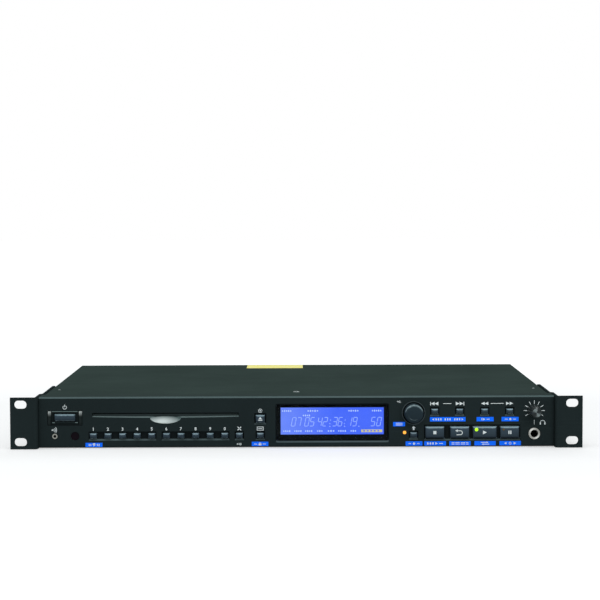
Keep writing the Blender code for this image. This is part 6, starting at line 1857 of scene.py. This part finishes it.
@dataclass
class Screws:
    """Cross-head screws of the cover and the rear panel, and the plain label on the cover."""

    finishes: Finishes
    head: float = 3.1 * MM
    cover_screw: tuple[float, float] = mm(-0.1, -98.4)
    rear_screws: tuple[float, ...] = (-205.0, -150.0, 2.0, 148.0, 205.0)
    rear_level: float = 37.6 * MM
    rear_share: float = 0.8
    plate_screw: tuple[float, float] = mm(9.8, 12.2)
    plate_share: float = 0.5
    pin_place: tuple[float, float] = mm(208.4, -80.1)
    label_low: tuple[float, float] = mm(-49.0, 112.0)
    label_high: tuple[float, float] = mm(6.4, 144.0)

    def pattern(self) -> Thing:
        """Models one screw at the origin, pointing up: a domed head with a black cross let into it,
        as painted shade for the recess.
        """
        r = self.head
        shares = (
            (0.95, -0.3), (1.0, 0.2), (0.97, 0.7), (0.84, 1.15), (0.62, 1.45), (0.34, 1.6),
            (0.16, 0.9),
        )
        profile = [(r * share, height * MM) for share, height in shares]
        pieces = [Draft.turned("screw", profile, 28).done(self.finishes.screw)]
        for turn in (0.0, math.pi / 2):
            # The black cross stands for the shade in the head's recess.
            low, high = (-r * 0.48, -0.22 * MM, 1.3 * MM), (r * 0.48, 0.22 * MM, 1.62 * MM)
            blade = Draft.block("screw_cross", low, high)
            blade.pick(looks_up).inset(0.05 * MM, 0.04 * MM)
            pieces.append(blade.done(self.finishes.socket, move=Matrix.Rotation(turn, 4, "Z")))
        return assembled("screw", pieces)

    def places(self) -> list[tuple[str, Matrix]]:
        """Gives each screw's name and place."""
        cover = Matrix.Translation((*self.cover_screw, PLACES.cover - 1.3 * MM))
        found = [("cover_screw", cover)]
        for place, x in enumerate(self.rear_screws):
            spot = Side.REAR.at(x * MM, PLACES.rear, self.rear_level)
            spot = spot @ Matrix.Scale(self.rear_share, 4)
            found.append((f"rear_screw_{place}", spot @ Matrix.Rotation(0.4 * place, 4, "Z")))
        across, up = self.plate_screw
        for node in BALANCED:
            middle, plate = PLACES.middle(node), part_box(node)[1].y - 0.1 * MM
            for name, side in (("upper", 1.0), ("lower", -1.0)):
                spot = Side.REAR.at(middle.x + side * across, plate, middle.z + side * up)
                spot = spot @ Matrix.Scale(self.plate_share, 4)
                found.append((f"{node}_{name}_screw", spot))
        return found

    def label(self) -> None:
        """Lays the plain yellow label on the cover."""
        low, high = self.label_low, self.label_high
        draft = Draft.block(
            "cover_label", (low[0], low[1], PLACES.cover - 0.02 * MM),
            (high[0], high[1], PLACES.cover + 0.06 * MM),
        )
        draft.pick(looks_up).inset(0.6 * MM)
        draft.pick(lambda c, run: abs(run.z) > LEVEL, "EDGE").bevel(1.0 * MM, 3)
        settle(draft.done(self.finishes.yellow), CASE)

    def pins(self) -> None:
        """Adds the small pins near the cover's sides."""
        profile = [
            (radius * MM, height * MM)
            for radius, height in ((1.15, -0.4), (1.15, 0.15), (0.9, 0.4), (0.4, 0.5))
        ]
        x, y = self.pin_place
        for name, side in (("cover_pin_left", -1.0), ("cover_pin_right", 1.0)):
            place = Matrix.Translation((side * x, y, PLACES.cover))
            pin = Draft.turned(name, profile, 16).done(self.finishes.screw, move=place)
            settle(pin, CASE)

    def build(self) -> None:
        """Models one screw and copies it to every place."""
        pattern = self.pattern()
        for name, place in self.places():
            settle(copy_of(pattern, name, place), CASE)
        bpy.data.objects.remove(pattern)
        self.label()
        self.pins()


@dataclass
class RearSockets:
    """Audio, control and mains sockets of the rear panel."""

    finishes: Finishes
    plate_face: float = 147.3 * MM
    plate_back: float = 145.4 * MM
    plate_edge: tuple[float, float] = mm(12.2, 14.5)
    pins: Range = mm(134.6, 147.0)
    pin_tips: float = 136.0 * MM
    pin_reach: float = 5.6 * MM
    blades: Range = mm(133.5, 147.0)
    blade_reach: tuple[float, float] = mm(9.0, 6.2)
    ring_inside: float = 4.25 * MM
    ring_outside: float = 6.2 * MM
    barrel_inset: float = 6.0 * MM
    row_gap: float = 1.42 * MM

    def balanced(self, node: str) -> None:
        """Finishes a three-pin output: dark metal plate, black cup, gold pins."""
        kit, middle = self.finishes, PLACES.middle(node)
        wide, tall = self.plate_edge
        thing = resurface(node, f"{node}_socket", kit.socket, 0.15 * MM)
        dress(
            thing, kit.screw,
            lambda c, n: (c.y > self.plate_face and n.y > 0.3) or (c.y > self.plate_back and (
                abs(c.x - middle.x) > wide or abs(c.z - middle.z) > tall
            )),
        )
        dress(
            thing, kit.gold,
            lambda c, n: self.pins[0] < c.y < self.pins[1]
            and math.hypot(c.x - middle.x, c.z - middle.z) < self.pin_reach
            and (abs(n.y) < 0.5 or c.y > self.pin_tips),
        )

    def phono(self, node: str, rings: Sequence[tuple[float, Material]]) -> None:
        """Plates a phono socket and sets coloured rings about its barrels."""
        x = PLACES.middle(node).x
        pieces = [resurface(node, f"{node}_socket", self.finishes.nickel, 0.12 * MM)]
        profile = [
            (self.ring_inside, 0.0), (self.ring_outside, 0.0), (self.ring_outside, 1.1 * MM),
            mm(5.9, 1.4), (self.ring_inside, 1.4 * MM),
        ]
        for z, colour in rings:
            place = Side.REAR.at(x, PLACES.rear, z)
            pieces.append(Draft.turned(f"{node}_ring", profile, 40).done(colour, move=place))
        assembled(f"{node}_socket", pieces)

    def contact(self) -> Thing:
        """Turns one hollow gold contact at the origin."""
        wide, narrow = 0.62 * MM, 0.35 * MM
        profile = [(wide, -0.2 * MM), (wide, 0.1 * MM), (narrow, 0.1 * MM), (narrow, -0.1 * MM)]
        return Draft.turned("contact", profile, 8).done(self.finishes.gold)

    def control(self, node: str, rows: Sequence[int], pitch: float) -> None:
        """Fills a D-shaped shell with its black insert and gold contacts."""
        kit = self.finishes
        low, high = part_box(node)
        middle, half = (low + high) / 2, (max(rows) - 1) * pitch / 2 + 1.6 * MM
        pieces = [resurface(node, f"{node}_socket", kit.nickel, 0.12 * MM)]
        start = (middle.x - half, high.y - 0.1 * MM, middle.z - 2.9 * MM)
        end = (middle.x + half, high.y + 0.05 * MM, middle.z + 2.9 * MM)
        insert = Draft.block(f"{node}_insert", start, end)
        insert.pick(lambda c, n: n.y > STRAIGHT).inset(0.25 * MM, 0.05 * MM)
        pieces.append(insert.done(kit.socket))
        pattern = self.contact()
        for count, up in zip(rows, (self.row_gap, -self.row_gap)):
            for place in range(count):
                x = middle.x + (place - (count - 1) / 2) * pitch
                move = Side.REAR.at(x, high.y, middle.z + up)
                pieces.append(copy_of(pattern, f"{node}_contact", move))
        bpy.data.objects.remove(pattern)
        assembled(f"{node}_socket", pieces)

    def mains(self) -> None:
        """Finishes the mains inlet: black cup and steel blades."""
        kit, middle, (wide, tall) = self.finishes, PLACES.middle("ac_inlet"), self.blade_reach
        thing = resurface("ac_inlet", "mains_inlet", kit.socket, 0.2 * MM)
        dress(
            thing, kit.steel,
            lambda c, n: self.blades[0] < c.y < self.blades[1]
            and abs(c.x - middle.x) < wide and abs(c.z - middle.z) < tall,
        )

    def build(self) -> None:
        """Finishes all sockets."""
        kit = self.finishes
        for node in BALANCED:
            self.balanced(node)
        low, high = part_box("rca_outputs")
        level, reach = ((low + high) / 2).z, (high.z - low.z) / 2 - self.barrel_inset
        self.phono("rca_outputs", ((level + reach, kit.ring_white), (level - reach, kit.ring_red)))
        row = PLACES.middle("coaxial_output").z
        self.phono("coaxial_output", ((row, kit.ring_orange),))
        self.control("serial_connector", (5, 4), 2.77 * MM)
        self.control("parallel_connector", (13, 12), 1.3 * MM)
        self.mains()


@dataclass
class Inside:
    """The circuit boards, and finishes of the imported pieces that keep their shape."""

    finishes: Finishes
    laminate_top: float = 8.0 * MM
    can_top: float = 19.0 * MM
    sinks_left: float = -107.0 * MM
    board_depth: float = 10.9 * MM

    def board(self, node: str, part: Test, bright: Test) -> None:
        """Dresses a board: black parts, and bright metal where the test finds cans or sinks."""
        kit = self.finishes
        thing = resurface(node, f"{node}_laminate", kit.board)
        dress(thing, kit.socket, part)
        dress(thing, kit.steel, lambda c, n: part(c, n) and bright(c, n))

    def boards(self) -> None:
        """Dresses the three boards."""
        front = PLACES.face + self.board_depth
        self.board("front_board", lambda c, n: c.y < front, lambda c, n: False)
        self.board(
            "main_board", lambda c, n: c.z > self.laminate_top,
            lambda c, n: c.z > self.can_top and looks_up(c, n),
        )
        self.board(
            "power_supply_board", lambda c, n: c.z > self.laminate_top,
            lambda c, n: c.x > self.sinks_left or (c.z > self.can_top and looks_up(c, n)),
        )

    def build(self) -> None:
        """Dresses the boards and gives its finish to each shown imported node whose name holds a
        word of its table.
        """
        kit = self.finishes
        self.boards()
        kinds = {
            kit.loader: ("loader_frame", "turntable"),
            kit.rubber: ("loading_roller",),
            kit.steel: ("loader_top", "clamp_arm", "_motor", "_rod", "_screw"),
            kit.socket: ("power_switch", "rotor", "sled"),
        }
        for name, node in frame["nodes"].items():
            chosen = [
                finish for finish, words in kinds.items() if any(word in name for word in words)
            ]
            if chosen and not node.hide_render:
                node.data.materials.clear()
                node.data.materials.append(chosen[0])


def main() -> None:
    """Builds the player's looks in order."""
    logging.basicConfig(level=logging.INFO, format="%(message)s")
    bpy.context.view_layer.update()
    Studio().build()
    finishes = Finishes()
    for part in (
        Case, DiscSlot, Caps, Display, Controls, FrontSockets, Legends, Screws, RearSockets, Inside
    ):
        part(finishes).build()
        log.info("%s done", part.__name__)


if __name__ == "__main__":
    main()
